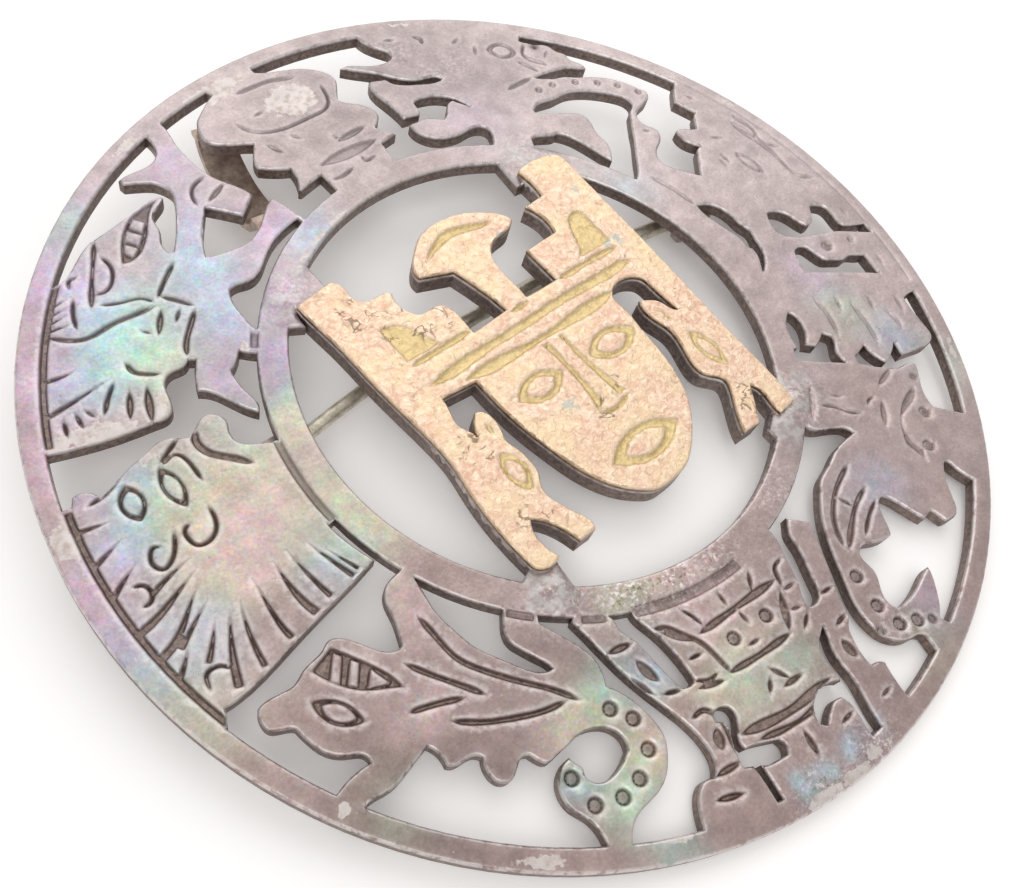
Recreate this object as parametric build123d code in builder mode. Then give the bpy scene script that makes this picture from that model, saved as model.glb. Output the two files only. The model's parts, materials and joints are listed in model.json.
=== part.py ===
"""Round pierced silver brooch with ten cast figures and an engraved gold mask.

Millimetres. Everything is drawn in the brooch's own plane, whose centre is the
middle of the disc on its front face, with the figures read from the front and
the mask's crest up. That plane is then laid down as the brooch rests on a
table: on its hinge, its catch and the lower rim.
"""
from build123d import *
from math import atan2, cos, degrees, hypot, radians, sin
import os

# Disc
disc_radius = 25.0
outer_ring_width = 1.03
inner_ring_width = 1.53
opening_radius = 12.87
plate_thickness = 0.8

# Mask
core_rise = 0.25
gold_thickness = 0.35

# Engraving
cut_depth = 0.22
gold_cut_depth = 0.14
fine_cut = 0.27
plain_cut = 0.34
broad_cut = 0.46
dot_radius = 0.38
small_dot_radius = 0.26
dot_centre_share = 0.45
eye_inner_share = 0.58

# Pin, its hinge and its catch
fitting_drop = 2.2
fitting_base = 0.35
axis_drop = 1.2
hinge_x = 14.9
hinge_y = 3.57
rivet_radius = 0.3
rivet_head = 0.15
eye_clearance = 0.04
eye_radius = 0.75
eye_width = 0.9
ear_gap = 0.06
ear_thickness = 0.5
hinge_base_margin = 0.35
hinge_base_length = 2.8
stem_middle_x = 1.0
stem_middle_y = 4.5
stem_end_x = -16.3
stem_end_y = 2.62
stem_root_radius = 0.465
stem_catch_radius = 0.34
stem_point_radius = 0.06
stem_runs = 12
catch_x = -14.7
catch_length = 1.6
catch_wall = 0.3
catch_side_gap = 0.08

# Bail for a chain. Its feet are given in disc radii.
bail_lower_foot_share = (-.262, .572)
bail_upper_foot_share = (-.232, .876)
bail_height = 2.2
bail_width = 2.1
bail_thickness = 0.45
bail_foot_length = 0.8
bail_foot_thickness = 0.3

# Shape of a graver's cut near its tips, in widths of the cut
cut_tip_length = 1.1
cut_tip_width = .42
ray_taper = 1.7

# Reach runs across the band of figures, from the inner ring to the outer ring
reach_at_inner_ring = 0.015
reach_at_outer_ring = 1.04
mask_units_in_opening_radius = 12.87
sharp_turn = 48

band_inner_radius = opening_radius + inner_ring_width
band_outer_radius = disc_radius - outer_ring_width
plate_back = -plate_thickness
axis_z = plate_back - axis_drop
mask_unit = opening_radius / mask_units_in_opening_radius

# Gaps cut between the figures. Columns: bearing clockwise from the top, reach.
# Points past the outer ring or inside the inner ring are trimmed to the band.
figure_gaps = {
    "between capped figure and winged beast": [
        (-4.2, 1.15), (-4.3, 1.0), (-3, .97), (0, .93), (2, .9), (3.5, .86), (5, .8), (5.5, .74),
        (5.2, .7), (4.2, .63), (3.5, .575), (4.2, .54), (6, .5), (7.5, .45), (8.2, .38), (7.8, .35),
        (6, .285), (7.5, .24), (9, .2), (5, .165), (4.9, -.02), (29, -.02), (29.6, .07), (29.3, .14),
        (28, .165), (25.5, .155), (23, .115), (20, .09), (17.5, .09), (15, .12), (13.3, .175),
        (12.8, .245), (14.5, .255), (16.5, .27), (18.5, .26), (20.2, .245), (21.5, .31), (22.2, .37),
        (23.4, .40), (26.6, .34), (23.2, .425), (16.8, .435), (16, .40), (16.2, .36), (15.8, .31),
        (12.3, .30), (11.8, .37), (11, .45), (9.9, .58), (10.3, .65), (13.3, .64), (14, .6),
        (16, .57), (19, .56), (22, .57), (23, .595), (22.5, .61), (19, .60), (16, .62), (14, .66),
        (12.5, .7), (10, .75), (8.5, .785), (7.4, .815), (8.5, .82), (11, .79), (13.5, .775),
        (14.8, .785), (16.2, .83), (16.1, .87), (14.5, .92), (13.2, .98), (13, 1.15),
    ],
    "over the winged beast's arm": [
        (37.8, 1.15), (62.9, 1.15), (63, .95), (63.5, .9), (64, .855), (67.7, .855), (68, .8),
        (69, .74), (69.3, .71), (68.5, .68), (66.7, .62), (66.6, .6), (67, .585), (71.8, .585),
        (71.6, .55), (72.3, .5), (74, .41), (75.4, .345), (74.5, .33), (72, .295), (69.5, .265),
        (67.5, .265), (66, .3), (65.2, .37), (65, .45), (64.3, .5), (63, .525), (61, .52),
        (59.8, .54), (59, .58), (59, .66), (59.7, .75), (59.7, .8), (59, .835), (56, .84),
        (52, .825), (48.7, .775), (47, .745), (44, .695), (41, .66), (39.8, .655), (40.3, .675),
        (41.5, .71), (43.5, .77), (46, .825), (48.2, .855), (48.5, .865), (47.5, .89), (45.5, .915),
        (45, .945), (43.5, .955), (42.5, .985), (40, .99), (37.6, .99),
    ],
    "under the winged beast's arm": [
        (39.5, .35), (40.3, .415), (43, .48), (45.5, .57), (48, .625), (51, .665), (54, .69),
        (56.8, .685), (57.5, .66), (57.6, .6), (58.2, .52), (59.2, .43), (60.4, .34), (62.3, .19),
        (64.3, .055), (64.3, -.02), (40, -.02), (38.7, .09), (41, .13), (44, .165), (44.4, .18),
        (48, .17), (52, .13), (55, .1), (57.6, .085), (57.3, .12), (56, .2), (54.5, .24),
        (53, .27), (51.5, .34), (49.5, .4), (48.8, .405), (45, .375), (42, .345), (40, .325),
    ],
    "lens under the right creature": [
        (79.3, .1), (81, .17), (83.5, .21), (86, .22), (89, .22), (91, .235), (93, .215),
        (95.5, .2), (98, .165), (99.6, .13), (100.8, .09), (99, .115), (97, .14), (94.6, .145),
        (94.2, .12), (92, .13), (89, .115), (86, .095), (83, .08), (81, .085),
    ],
    "between right creature and comb": [
        (99.1, 1.15), (98.6, .95), (98, .88), (97, .865), (93.7, .865), (93.1, .84), (92.6, .78),
        (93.6, .745), (94.8, .71), (95.4, .66), (95.4, .625), (94, .6), (91.5, .565), (90.2, .52),
        (89.7, .46), (91.2, .42), (95, .42), (96, .46), (98.4, .8), (99.6, .92), (101.4, 1.15),
    ],
    "first gap of the comb": [
        (104, .86), (107.7, .87), (107, .78), (106, .63), (105, .5), (104, .38), (103, .365),
        (101, .385), (99.3, .4), (98.7, .44), (99.2, .5), (101.2, .53), (102.6, .56),
        (103.3, .63), (103.7, .7), (103.3, .76), (103.6, .8),
    ],
    "between comb and lower right beast": [
        (111.8, 1.15), (132.2, 1.15), (131.9, .93), (131.7, .84), (130.5, .815), (128.5, .8),
        (126, .81), (124.3, .8), (125, .7), (125.5, .65), (125.2, .6), (125.3, .55), (125, .48),
        (124.9, .42), (123.4, .41), (121, .5), (122.3, .52), (123.6, .565), (124.4, .605),
        (122.5, .67), (120.4, .715), (122.9, .735), (122.1, .82), (121.6, .89), (120.6, .975),
        (119.8, 1.0), (118, .99), (116, .965), (114.3, .945), (112.8, .945), (112.2, .99),
    ],
    "under the comb": [
        (124.7, .33), (124.7, .2), (124.4, -.02), (123.4, -.02), (121.3, .045), (113, .065),
        (112.2, .085), (113, .105), (120.6, .1), (121, .17), (120.4, .19), (118, .245),
        (118.9, .3), (120, .3), (122.5, .29), (123.8, .31),
    ],
    "along the curled tail": [
        (139.7, .29), (140, .305), (142.6, .24), (145, .2), (149, .17), (152.5, .145), (156, .165),
        (160, .215), (163, .28), (165.5, .36), (167.9, .46), (170, .56), (171, .65), (171.3, .73),
        (171.1, .8), (170.3, .86), (169, .905), (167.6, .935), (167.2, .96), (167.6, 1.0),
        (168.8, 1.15), (175.6, 1.15), (175, .98), (174, .86), (174.4, .84), (175.7, .82),
        (175.5, .76), (174.6, .67), (173.6, .62), (172.4, .59), (171.9, .555), (171, .5),
        (169.9, .45), (168.4, .395), (166.6, .32), (164.6, .255), (162.4, .165), (164.6, .06),
        (163.5, -.02), (140.2, -.02), (140, .2),
    ],
    "inside the curled tail": [
        (143, 1.15), (163.2, 1.15), (163.8, .99), (162.3, .965), (160.5, .92), (158.8, .87),
        (158.1, .84), (158.8, .83), (161.5, .82), (164.5, .8), (166.2, .775), (166.5, .735),
        (166, .68), (164.2, .62), (163.3, .57), (162.9, .51), (162, .478), (160.6, .475),
        (159.4, .515), (158.2, .56), (156.3, .6), (154.6, .555), (151.9, .495), (150.4, .51),
        (150.5, .6), (151, .7), (151.2, .765), (149.4, .795), (149.8, .85), (150.1, .885),
        (149.2, .925), (148.1, .945), (146, .915), (142.4, .865), (140.9, .865), (140.6, .89),
        (141.4, .94), (142, 1.0),
    ],
    "slit left of the totem's head": [
        (163.5, -.02), (164.8, .06), (167, .1), (168.5, .18), (170.5, .28), (172, .36),
        (173.2, .415), (174.5, .425), (176, .405), (175.8, .385), (174, .3), (172.3, .2),
        (170.5, .11), (169.6, .05), (169.4, -.02),
    ],
    "totem's first slot": [
        (180.3, 1.15), (181.7, 1.15), (181.8, .95), (181.6, .87), (182, .82), (183, .81),
        (184.5, .83), (186, .875), (186.6, .85), (186.2, .79), (185.8, .77), (180.6, .765),
        (180.2, .72), (180.3, .66), (180, .61), (179.2, .575), (176.6, .525), (177.5, .58),
        (178.4, .64), (178.9, .72), (179, .78), (179.8, .9),
    ],
    "totem's second slot": [
        (195.4, 1.15), (196.3, 1.15), (196.5, .95), (196.9, .86), (198, .85), (198.1, .78),
        (197.7, .7), (197.8, .63), (198.9, .615), (198.7, .585), (197.5, .565), (196.2, .585),
        (196, .63), (196.9, .7), (196.9, .78), (195, .785), (193.4, .8), (192.4, .81),
        (192.1, .86), (192.5, .885), (194, .885), (195.5, .88), (196, .87), (195.8, .95),
    ],
    "between totem and feline": [
        (205, 1.15), (211.9, 1.15), (212.5, 1.0), (211.6, .93), (209.2, .86), (207.4, .79),
        (206.4, .7), (206.1, .61), (206.9, .53), (208.4, .45), (210.4, .385), (212.4, .35),
        (212.6, .28), (213.6, .21), (216, .145), (219, .095), (222.4, .045), (222.8, -.02),
        (216, -.02), (216.6, .035), (213.4, .14), (210, .28), (206.8, .41), (204.4, .51),
        (202.6, .6), (201.5, .69), (201.3, .81), (201.8, .845), (203.8, .86), (204.6, .91),
    ],
    "slit right of the totem's head": [
        (199.2, .405), (200.2, .425), (201.5, .42), (203, .33), (204.6, .23), (206.5, .14),
        (208.3, .08), (208.6, .045), (210, .01), (210, -.02), (205, -.02), (204.4, .06),
        (203, .115), (201.4, .19), (200.3, .27), (199.6, .34),
    ],
    "inside the feline's tail and over its back": [
        (215.7, 1.15), (238.4, 1.15), (238.4, 1.0), (237.2, .94), (236.3, .86), (235.6, .78),
        (235, .72), (233.8, .73), (232.4, .775), (231.4, .765), (230.2, .72), (228.7, .705),
        (227.8, .77), (226.5, .8), (225.4, .79), (224.7, .74), (224.2, .68), (223.3, .665),
        (222, .69), (221.2, .695), (220.2, .665), (218.5, .61), (217.2, .565), (215.5, .54),
        (213, .545), (211.6, .585), (211.2, .645), (212.1, .695), (213.4, .745), (215, .775),
        (216.3, .765), (216.8, .745), (217, .71), (217.8, .69), (218.5, .665), (219.6, .71),
        (220, .76), (219.8, .82), (218.6, .89), (217, .93), (215.9, .98),
    ],
    "under the feline's body": [
        (220.3, .265), (221.2, .28), (224, .28), (228, .25), (232, .225), (236, .175),
        (240, .12), (243, .06), (245.5, .02), (245.5, -.02), (229.5, -.02), (228.9, .05),
        (228.4, .11), (227.3, .16), (225, .195), (222.5, .225), (221, .245),
    ],
    "between feline and rayed face": [
        (241.9, 1.15), (241.5, .97), (240.7, .9), (240.1, .865), (241, .85), (242.5, .88),
        (244.5, .91), (246.5, .905), (248.5, .885), (249.6, .92), (250.5, .95), (251.6, .945),
        (252.8, .905), (252.7, .86), (251.9, .79), (251.3, .73), (251.5, .66), (251.1, .54),
        (251.2, .48), (250.4, .45), (248, .42), (245, .405), (243.2, .38), (242.4, .34),
        (243.5, .3), (245.5, .24), (247.8, .19), (248.9, .145), (249.1, .09), (248.6, .03),
        (248.4, -.02), (263.4, -.02), (263.2, .06), (258, .055), (253.1, .045), (253.5, .25),
        (254.1, .5), (254.3, .7), (254.7, .88), (255.3, .98), (254, 1.03), (254, 1.15),
    ],
    "between rayed face and profile head": [
        (282.2, -.02), (282.3, .05), (282.9, .12), (284.2, .2), (285.2, .215), (286.5, .22),
        (288.2, .215), (289.8, .245), (290.4, .29), (289.6, .34), (288, .38), (287.3, .41),
        (287.6, .47), (287.6, .55), (286.4, .62), (285.2, .7), (283.8, .78), (282.5, .87),
        (283.3, .9), (283.7, .945), (283.4, .985), (282.4, 1.0), (282.1, 1.15), (288.9, 1.15),
        (289, .9), (289.3, .76), (289.9, .63), (290.4, .55), (291.2, .47), (292.3, .45),
        (297, .465), (298.2, .44), (299, .385), (300.4, .35), (300.4, .315), (297, .325),
        (294.7, .32), (294, .25), (292.3, .185), (290.3, .12), (288.7, .055), (290.5, .045),
        (293, .08), (296, .125), (298, .145), (299.8, .115), (301, .105), (302.1, .1),
        (301.6, .03), (301.4, -.02),
    ],
    "between profile head and tree": [
        (310.8, 1.15), (336.5, 1.15), (336.1, .98), (334.8, .92), (333.5, .905), (332, .92),
        (330.2, .96), (328.6, .985), (328.3, .95), (329.5, .88), (330.4, .81), (330.5, .76),
        (330.1, .7), (329, .665), (327.5, .63), (325, .585), (322, .545), (320.1, .53),
        (319.6, .545), (320.3, .58), (321, .605), (322.8, .635), (324, .68), (324.9, .71),
        (327, .715), (328.7, .725), (328.4, .755), (327, .785), (324.5, .82), (321.5, .87),
        (319.3, .915), (318, .945), (316.5, .962), (313.8, .975), (312, .995), (311, 1.03),
    ],
    "between tree and capped figure": [
        (320.7, .36), (323, .4), (326, .445), (328.3, .475), (330, .5), (330.8, .4), (331.6, .3),
        (334, .315), (336.7, .34), (336.7, .42), (336.3, .5), (336, .6), (336.3, .68), (337, .77),
        (338, .88), (339.2, .97), (338.9, 1.15), (347.6, 1.15), (348.2, 1.0), (346.2, .97),
        (345.2, .95), (343, .905), (341.6, .83), (341, .77), (341.6, .71), (343.4, .64),
        (345.6, .57), (344.2, .53), (342.6, .475), (342, .43), (343.4, .37), (345.9, .3),
        (345.3, .25), (343, .165), (343.3, .15), (349, .15), (348.7, .08), (348.3, -.02),
        (337.6, -.02), (337.6, .05), (338, .15), (338, .245), (334, .215), (331, .19),
        (329, .185), (326.3, .2), (324, .25), (322, .31),
    ],
    "under the tree": [
        (306.6, -.02), (307, .01), (309.5, .08), (313.3, .165), (315.2, .185), (316.6, .16),
        (318.2, .1), (319.8, .075), (326, .075), (333, .065), (336.6, .045), (336, -.02),
    ],
}

# Outline of the mask, clockwise from its upper left corner, in mask units
mask_outline = [
    (-9.35, 8.5), (-7.15, 8.85), (-6.75, 8.4), (-6.65, 7.3), (-6.35, 7.0), (-5.15, 6.9),
    (-4.85, 6.7), (-4.65, 5.1), (-4.55, 5.0), (-3.2, 4.85), (-2.95, 4.6), (-2.75, 3.7),
    (-2.75, 2.6), (-.4, 2.8), (-.6, 4), (-.85, 5), (-1.2, 6.15), (-3, 6.75), (-3.05, 7),
    (-2.3, 8.2), (-1.2, 9), (0, 9.25), (1.5, 9.1), (2.8, 8.5), (3.8, 7.5), (3.85, 7.3),
    (3.5, 7), (1.9, 6.6), (1.2, 5.8), (1.05, 5), (1.05, 2.85), (3.25, 2.9), (3.15, 5.25),
    (5.4, 5.4), (5.55, 6.2), (5.15, 7.65), (6.55, 7.8), (6.6, 8.1), (6.5, 9.8), (9.2, 9.85),
    (9.5, 9.6), (9.6, 9), (9.5, 0), (9.35, -5), (9.3, -8.5), (9.15, -9.9), (7.95, -10),
    (7.9, -9.7), (8, -8.3), (7.75, -7.85), (7.2, -8.7), (6.45, -9.75), (5.3, -9.7), (5.6, -9),
    (6.3, -7.9), (6.75, -7.1), (6.8, -6.9), (6.5, -6.4), (6.05, -5.9), (5.95, -5.2),
    (6.15, -4.4), (6.45, -3.2), (6.45, -2.9), (6.2, -2), (6.1, -1.2), (6.3, -.6), (6.65, -.75),
    (7.3, -1.3), (7.5, -1.9), (7.85, -2.2), (7.75, -1.5), (7.65, -.2), (7.5, .5), (7.35, .65),
    (5.4, .6), (5.15, .2), (5.2, -.5), (5.1, -2), (4.95, -4), (4.75, -5), (4.2, -6.5),
    (3.3, -7.7), (2.2, -8.7), (1.2, -9.25), (0, -9.4), (-1, -9.3), (-1.5, -9), (-2.3, -8.3),
    (-2.95, -7.4), (-3.5, -6.2), (-3.95, -4.6), (-4.3, -3), (-4.5, -1.2), (-4.55, .25),
    (-6.6, .4), (-6.75, -.5), (-6.85, -1.3), (-6.6, -1.8), (-6.5, -2.2), (-6.4, -1.9),
    (-6.1, -1.4), (-5.8, -1.1), (-5.45, -1.2), (-5.25, -1.5), (-5.2, -2.3), (-5.35, -2.8),
    (-5.45, -3.1), (-5.3, -3.7), (-5.2, -4.6), (-5.3, -5.4), (-5.6, -5.9), (-5.7, -6.4),
    (-5.55, -7), (-5.1, -8), (-4.85, -8.9), (-4.95, -9.1), (-5.95, -9.1), (-6, -8.9),
    (-7, -7.1), (-7.2, -6.95), (-7.3, -7.1), (-7.3, -9.1), (-8.4, -9.1), (-8.6, -8.9),
    (-8.7, -8.5), (-8.65, -4), (-8.5, -3), (-8.6, 0), (-8.9, 3), (-9.1, 6), (-9.35, 8.3),
]

# Solder lugs between the mask's corners and the inner ring, in mask units
solder_lugs = [
    [(-9.35, 8.5), (-7.15, 8.85), (-7.2, 11), (-8.9, 10.4), (-10.6, 8.2), (-9.4, 7.6)],
    [(-8.7, -8.7), (-7.3, -9.1), (-7.45, -11.2), (-10.2, -9.4)],
    [(6.15, 9.3), (6.3, 11.6), (9.8, 10.3), (9.6, 9)],
    [(7, -10.2), (7.9, -9.6), (9.2, -9.6), (9.9, -10.6), (7, -11.9)],
]

# Sunk strips along the two rings. Columns: bearings of both ends, reach of both sides.
ring_channels = [
    (254, 282, 1.0, 1.045), (289.5, 311, 1.0, 1.045), (62, 110, 1.05, 1.065),
    (180, 205, -.02, .05), (210, 215, .0, .05), (223.2, 228.6, .0, .05),
    (263.3, 282.2, .0, .05), (302.5, 306.4, .0, .05),
]

# Cuts of the graver on the figures. Columns: width of the cut, then bearing and reach
# of the points along it. A cut ends in a point at both ends.
figure_cuts = {
    "capped figure": [
        (fine_cut, [(346.5, .75), (347, .66), (349, .58), (352, .54), (357, .53), (361, .56),
                    (362.3, .65), (362.6, .74)]),
        (plain_cut, [(350.5, .92), (353, .91), (357, .89), (360, .85)]),
        (fine_cut, [(349.5, .72), (351.7, .72)]),
        (fine_cut, [(351.3, .49), (352.5, .42)]),
        (fine_cut, [(346.8, .52), (347.7, .4)]),
        (fine_cut, [(350, .205), (364.8, .2)]),
        (fine_cut, [(357, .29), (364.5, .32)]),
        (fine_cut, [(357.5, .35), (358, .3), (362, .31)]),
        (fine_cut, [(359, .13), (359, .09), (362, .085)]),
        (fine_cut, [(349.5, .08), (352, .065), (356, .08)]),
    ],
    "winged beast": [
        (fine_cut, [(16, .97), (18, .97)]),
        (plain_cut, [(20.8, .99), (21.9, .955), (22, .91)]),
        (fine_cut, [(28, .97), (26.5, .9)]),
        (fine_cut, [(30.2, .9), (30, .8)]),
        (fine_cut, [(38.2, .98), (38, .86), (42.3, .79)]),
        (fine_cut, [(40, .98), (40, .94)]),
        (fine_cut, [(42, .94), (41.5, .86)]),
        (fine_cut, [(36.8, .785), (39, .75), (40.8, .71)]),
        (plain_cut, [(39.3, .65), (36.5, .56), (34.5, .5)]),
    ],
    "right creature": [
        (fine_cut, [(72.5, 1.015), (77, .997), (78.8, .94)]),
        (fine_cut, [(81.6, 1.02), (79.9, .96)]),
        (plain_cut, [(73, .945), (82, .93), (87.5, .93), (88.8, 1.0)]),
        (fine_cut, [(72.2, .705), (74.1, .77)]),
        (fine_cut, [(75.2, .62), (78, .60)]),
        (fine_cut, [(75.8, .57), (78.2, .55)]),
        (fine_cut, [(67, .09), (73, .095), (79, .09)]),
        (fine_cut, [(61, .45), (62.5, .48)]),
        (fine_cut, [(65, .96), (66.5, .96)]),
    ],
    "comb": [
        (fine_cut, [(95.2, .965), (97, .965)]),
        (fine_cut, [(104.5, .94), (107, .94)]),
        (fine_cut, [(112, .88), (115.5, .88)]),
        (fine_cut, [(111.5, .68), (114.5, .68)]),
        (fine_cut, [(110.5, .45), (113.8, .45)]),
        (plain_cut, [(109.7, .3), (114, .34), (119, .35)]),
        (plain_cut, [(112, .54), (117, .58), (121, .6)]),
        (plain_cut, [(114.5, .76), (116.5, .8), (118, .815)]),
    ],
    "lower right beast": [
        (fine_cut, [(131.8, .505), (137.5, .51)]),
        (fine_cut, [(131.2, .465), (132.5, .42), (133.5, .41)]),
        (fine_cut, [(135.5, .37), (135.7, .28), (135.2, .2), (135.5, .095)]),
        (fine_cut, [(132.4, .26), (132.7, .17)]),
        (plain_cut, [(125.3, .63), (129.3, .5)]),
        (fine_cut, [(131, .055), (140, .055)]),
        (plain_cut, [(150, .4), (153, .375), (157, .375), (163, .42)]),
        (plain_cut, [(147, .28), (151, .25), (157, .255), (161, .32), (163, .39)]),
        (plain_cut, [(154.7, .37), (154.8, .26)]),
        (fine_cut, [(151.5, .47), (155, .455), (159, .47)]),
    ],
    "totem": [
        (fine_cut, [(176, .95), (178, .95)]),
        (plain_cut, [(172.3, .57), (175.2, .57)]),
        (fine_cut, [(170.2, .44), (173.2, .41)]),
        (fine_cut, [(176.7, .42), (179.5, .475)]),
        (fine_cut, [(176.6, .385), (179, .355)]),
        (fine_cut, [(174.4, .28), (177.3, .265)]),
        (fine_cut, [(172.5, .145), (175, .155), (177, .25)]),
        (fine_cut, [(179.5, .07), (182, .17)]),
        (plain_cut, [(181.3, .44), (188, .435), (194, .44)]),
        (plain_cut, [(177.6, .25), (181.6, .44)]),
        (plain_cut, [(176.6, .2), (187, .185), (195.3, .215)]),
        (plain_cut, [(193.3, .45), (194.2, .35), (195.5, .25), (197.5, .19), (200, .13), (202.5, .115)]),
        (plain_cut, [(186.2, .29), (186.4, .2)]),
        (fine_cut, [(186, .37), (189, .37)]),
        (fine_cut, [(187.7, .16), (187.6, .06)]),
        (fine_cut, [(193.5, .19), (194.5, .12), (196, .065)]),
        (fine_cut, [(195, .415), (197, .43), (199.5, .41)]),
        (fine_cut, [(195.8, .3), (199, .31)]),
        (fine_cut, [(196, .24), (201.5, .14)]),
        (fine_cut, [(194.5, .46), (199.5, .45)]),
        (plain_cut, [(186, .61), (188.2, .5)]),
        (plain_cut, [(188.5, .54), (190.2, .62)]),
        (plain_cut, [(184, .62), (188, .62)]),
        (broad_cut, [(181.2, .72), (189, .725), (196.8, .715)]),
        (broad_cut, [(189.2, .97), (189, .82)]),
        (fine_cut, [(182, .9), (184.5, .91)]),
        (fine_cut, [(183, .775), (189, .785), (195, .77)]),
        (plain_cut, [(197.8, .82), (202, .845)]),
        (plain_cut, [(198, .8), (198.3, .6), (200, .55), (202, .57)]),
        (fine_cut, [(201.3, .43), (204.8, .43)]),
        (fine_cut, [(205.5, .43), (209.5, .31)]),
        (broad_cut, [(206.5, .16), (211.5, .2)]),
    ],
    "feline": [
        (plain_cut, [(218.3, .41), (221, .455), (225, .505), (230, .56), (233.2, .585)]),
        (plain_cut, [(216.3, .41), (220, .365), (225, .34), (231, .32), (234.5, .3), (238.5, .235),
                     (242.5, .175)]),
        (plain_cut, [(229.3, .43), (233, .415), (238, .41), (241.3, .41)]),
        (plain_cut, [(231.9, .46), (235, .52), (237, .57), (238.3, .61)]),
    ],
    "rayed face": [
        (fine_cut, [(257.5, .97), (259, .93), (258.7, .86), (257.5, .83)]),
        (fine_cut, [(268.7, .94), (268.8, .9), (270, .87), (271, .89), (271.3, .93)]),
        (fine_cut, [(281.7, .94), (282.8, .83), (284.5, .75)]),
        (fine_cut, [(274, .73), (274.2, .76), (273.5, .79), (272.3, .8), (271.3, .77), (271.6, .73),
                    (273, .68), (275, .645)]),
        (fine_cut, [(275, .57), (274.5, .6), (273, .61), (271.8, .59), (271.5, .55), (272.3, .49),
                    (274, .46), (276.3, .455)]),
        (fine_cut, [(279.8, .425), (282.5, .44), (285, .5), (284, .575)]),
        (fine_cut, [(284.2, .58), (285.5, .53), (287.5, .455)]),
        (broad_cut, [(279.5, .17), (281.5, .24), (284, .35), (286.5, .385), (288, .375)]),
    ],
    "profile head": [
        (fine_cut, [(290.3, .935), (293, .945)]),
        (fine_cut, [(291.2, .86), (293.7, .89)]),
        (fine_cut, [(292.5, .8), (294, .85)]),
        (fine_cut, [(292.5, .765), (295.5, .73), (297.5, .7)]),
        (fine_cut, [(291.3, .65), (296, .635)]),
        (fine_cut, [(290.3, .555), (296.5, .555)]),
        (plain_cut, [(303.8, 1.02), (303.5, .9), (304, .82), (306, .73), (308, .62), (309.8, .53)]),
        (fine_cut, [(308.8, .8), (309.7, .7), (310.8, .58), (310.5, .54)]),
        (fine_cut, [(304.8, .88), (307, .91), (309.5, .93)]),
        (fine_cut, [(308, .83), (312, .86), (315.5, .89), (318.5, .925)]),
        (fine_cut, [(310.3, .835), (311, .79), (313.5, .77), (315.2, .8), (316.5, .87)]),
        (fine_cut, [(310.5, .96), (312, .97), (312.8, .94)]),
        (plain_cut, [(298.1, .48), (298.3, .55), (299, .62), (300.3, .65)]),
        (fine_cut, [(305.5, .59), (304.9, .525)]),
        (fine_cut, [(304.5, .495), (309.5, .5)]),
        (fine_cut, [(307, .42), (310, .41)]),
        (plain_cut, [(311.7, .53), (311.3, .43), (310.7, .34)]),
        (plain_cut, [(301, .355), (303, .36), (307, .345), (310.2, .335)]),
        (fine_cut, [(311, .53), (314, .52), (318.3, .505)]),
    ],
    "tree": [
        (fine_cut, [(329.5, .54), (331, .6), (333, .63), (335.5, .62)]),
        (fine_cut, [(331, .505), (336, .505)]),
        (fine_cut, [(322, .375), (328, .47)]),
    ],
}

# Cuts that start broad, at the edge of a figure or in a channel, and run out in a point
figure_rays = {
    "rayed face": [
        (plain_cut, [(255, .742), (258.3, .69), (263, .6)]),
        (broad_cut, [(255.6, .88), (257.7, .82), (260, .75), (262.8, .66)]),
        (plain_cut, [(259.7, .89), (261, .82), (263.2, .73)]),
        (plain_cut, [(254.9, .57), (258, .55), (261, .52), (264.2, .495)]),
        (broad_cut, [(254.6, .41), (258.5, .405), (262, .385), (264.2, .37)]),
        (plain_cut, [(254.6, .31), (259, .3), (264.5, .29)]),
        (plain_cut, [(254, .167), (258, .175), (263.5, .195)]),
        (fine_cut, [(254.2, .125), (257, .135), (260.5, .155)]),
        (plain_cut, [(260.5, 1.02), (261.5, .95), (262.5, .9)]),
        (broad_cut, [(263.3, 1.02), (264, .9), (265.8, .79), (267.5, .69)]),
        (plain_cut, [(262.7, .93), (264, .82), (265.4, .7)]),
        (broad_cut, [(266.7, 1.02), (267.3, .87), (268.5, .74), (269.3, .65)]),
        (plain_cut, [(269.4, .88), (270.3, .76), (270.8, .65)]),
        (plain_cut, [(271.2, 1.02), (272.2, .95), (273.4, .86)]),
        (plain_cut, [(275.1, 1.02), (275.9, .94), (276.8, .86)]),
        (plain_cut, [(279.4, 1.02), (279.3, .95), (279.2, .87)]),
    ],
    "profile head": [
        (plain_cut, [(293.4, 1.02), (294.5, .93), (296, .83), (298, .71)]),
        (plain_cut, [(298, 1.02), (298.5, .94), (299.5, .87)]),
        (fine_cut, [(304.5, 1.02), (305.2, .96), (305.9, .9)]),
        (fine_cut, [(305.5, 1.02), (306.2, .98), (306.8, .945)]),
        (fine_cut, [(306.6, 1.02), (307.4, .98), (308.1, .94)]),
        (fine_cut, [(307.8, 1.02), (308.5, .99), (309.2, .955)]),
    ],
}

# Dots set with a ring punch. Columns: bearing, reach, radius.
ring_dots = [
    (100.4, .645, dot_radius), (132.9, .78, dot_radius), (138.6, .775, dot_radius),
    (126.7, .765, small_dot_radius), (166.1, .515, dot_radius), (168, .68, dot_radius),
    (168.1, .82, dot_radius), (166, .89, dot_radius), (170.8, .765, small_dot_radius),
    (164.6, .955, small_dot_radius), (182.8, .3, dot_radius), (190, .305, dot_radius),
    (210.5, .775, dot_radius), (208.6, .655, dot_radius), (209.6, .51, dot_radius),
    (212.5, .455, dot_radius), (212.8, .845, dot_radius), (216, .87, dot_radius),
    (218.4, .755, dot_radius),
]
punched_pits = [
    (40.5, .54, small_dot_radius), (43, .615, small_dot_radius), (47, .695, small_dot_radius),
    (50.8, .745, small_dot_radius), (54.2, .785, small_dot_radius), (57.8, .8, small_dot_radius),
    (100.7, .845, small_dot_radius),
]

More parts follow.
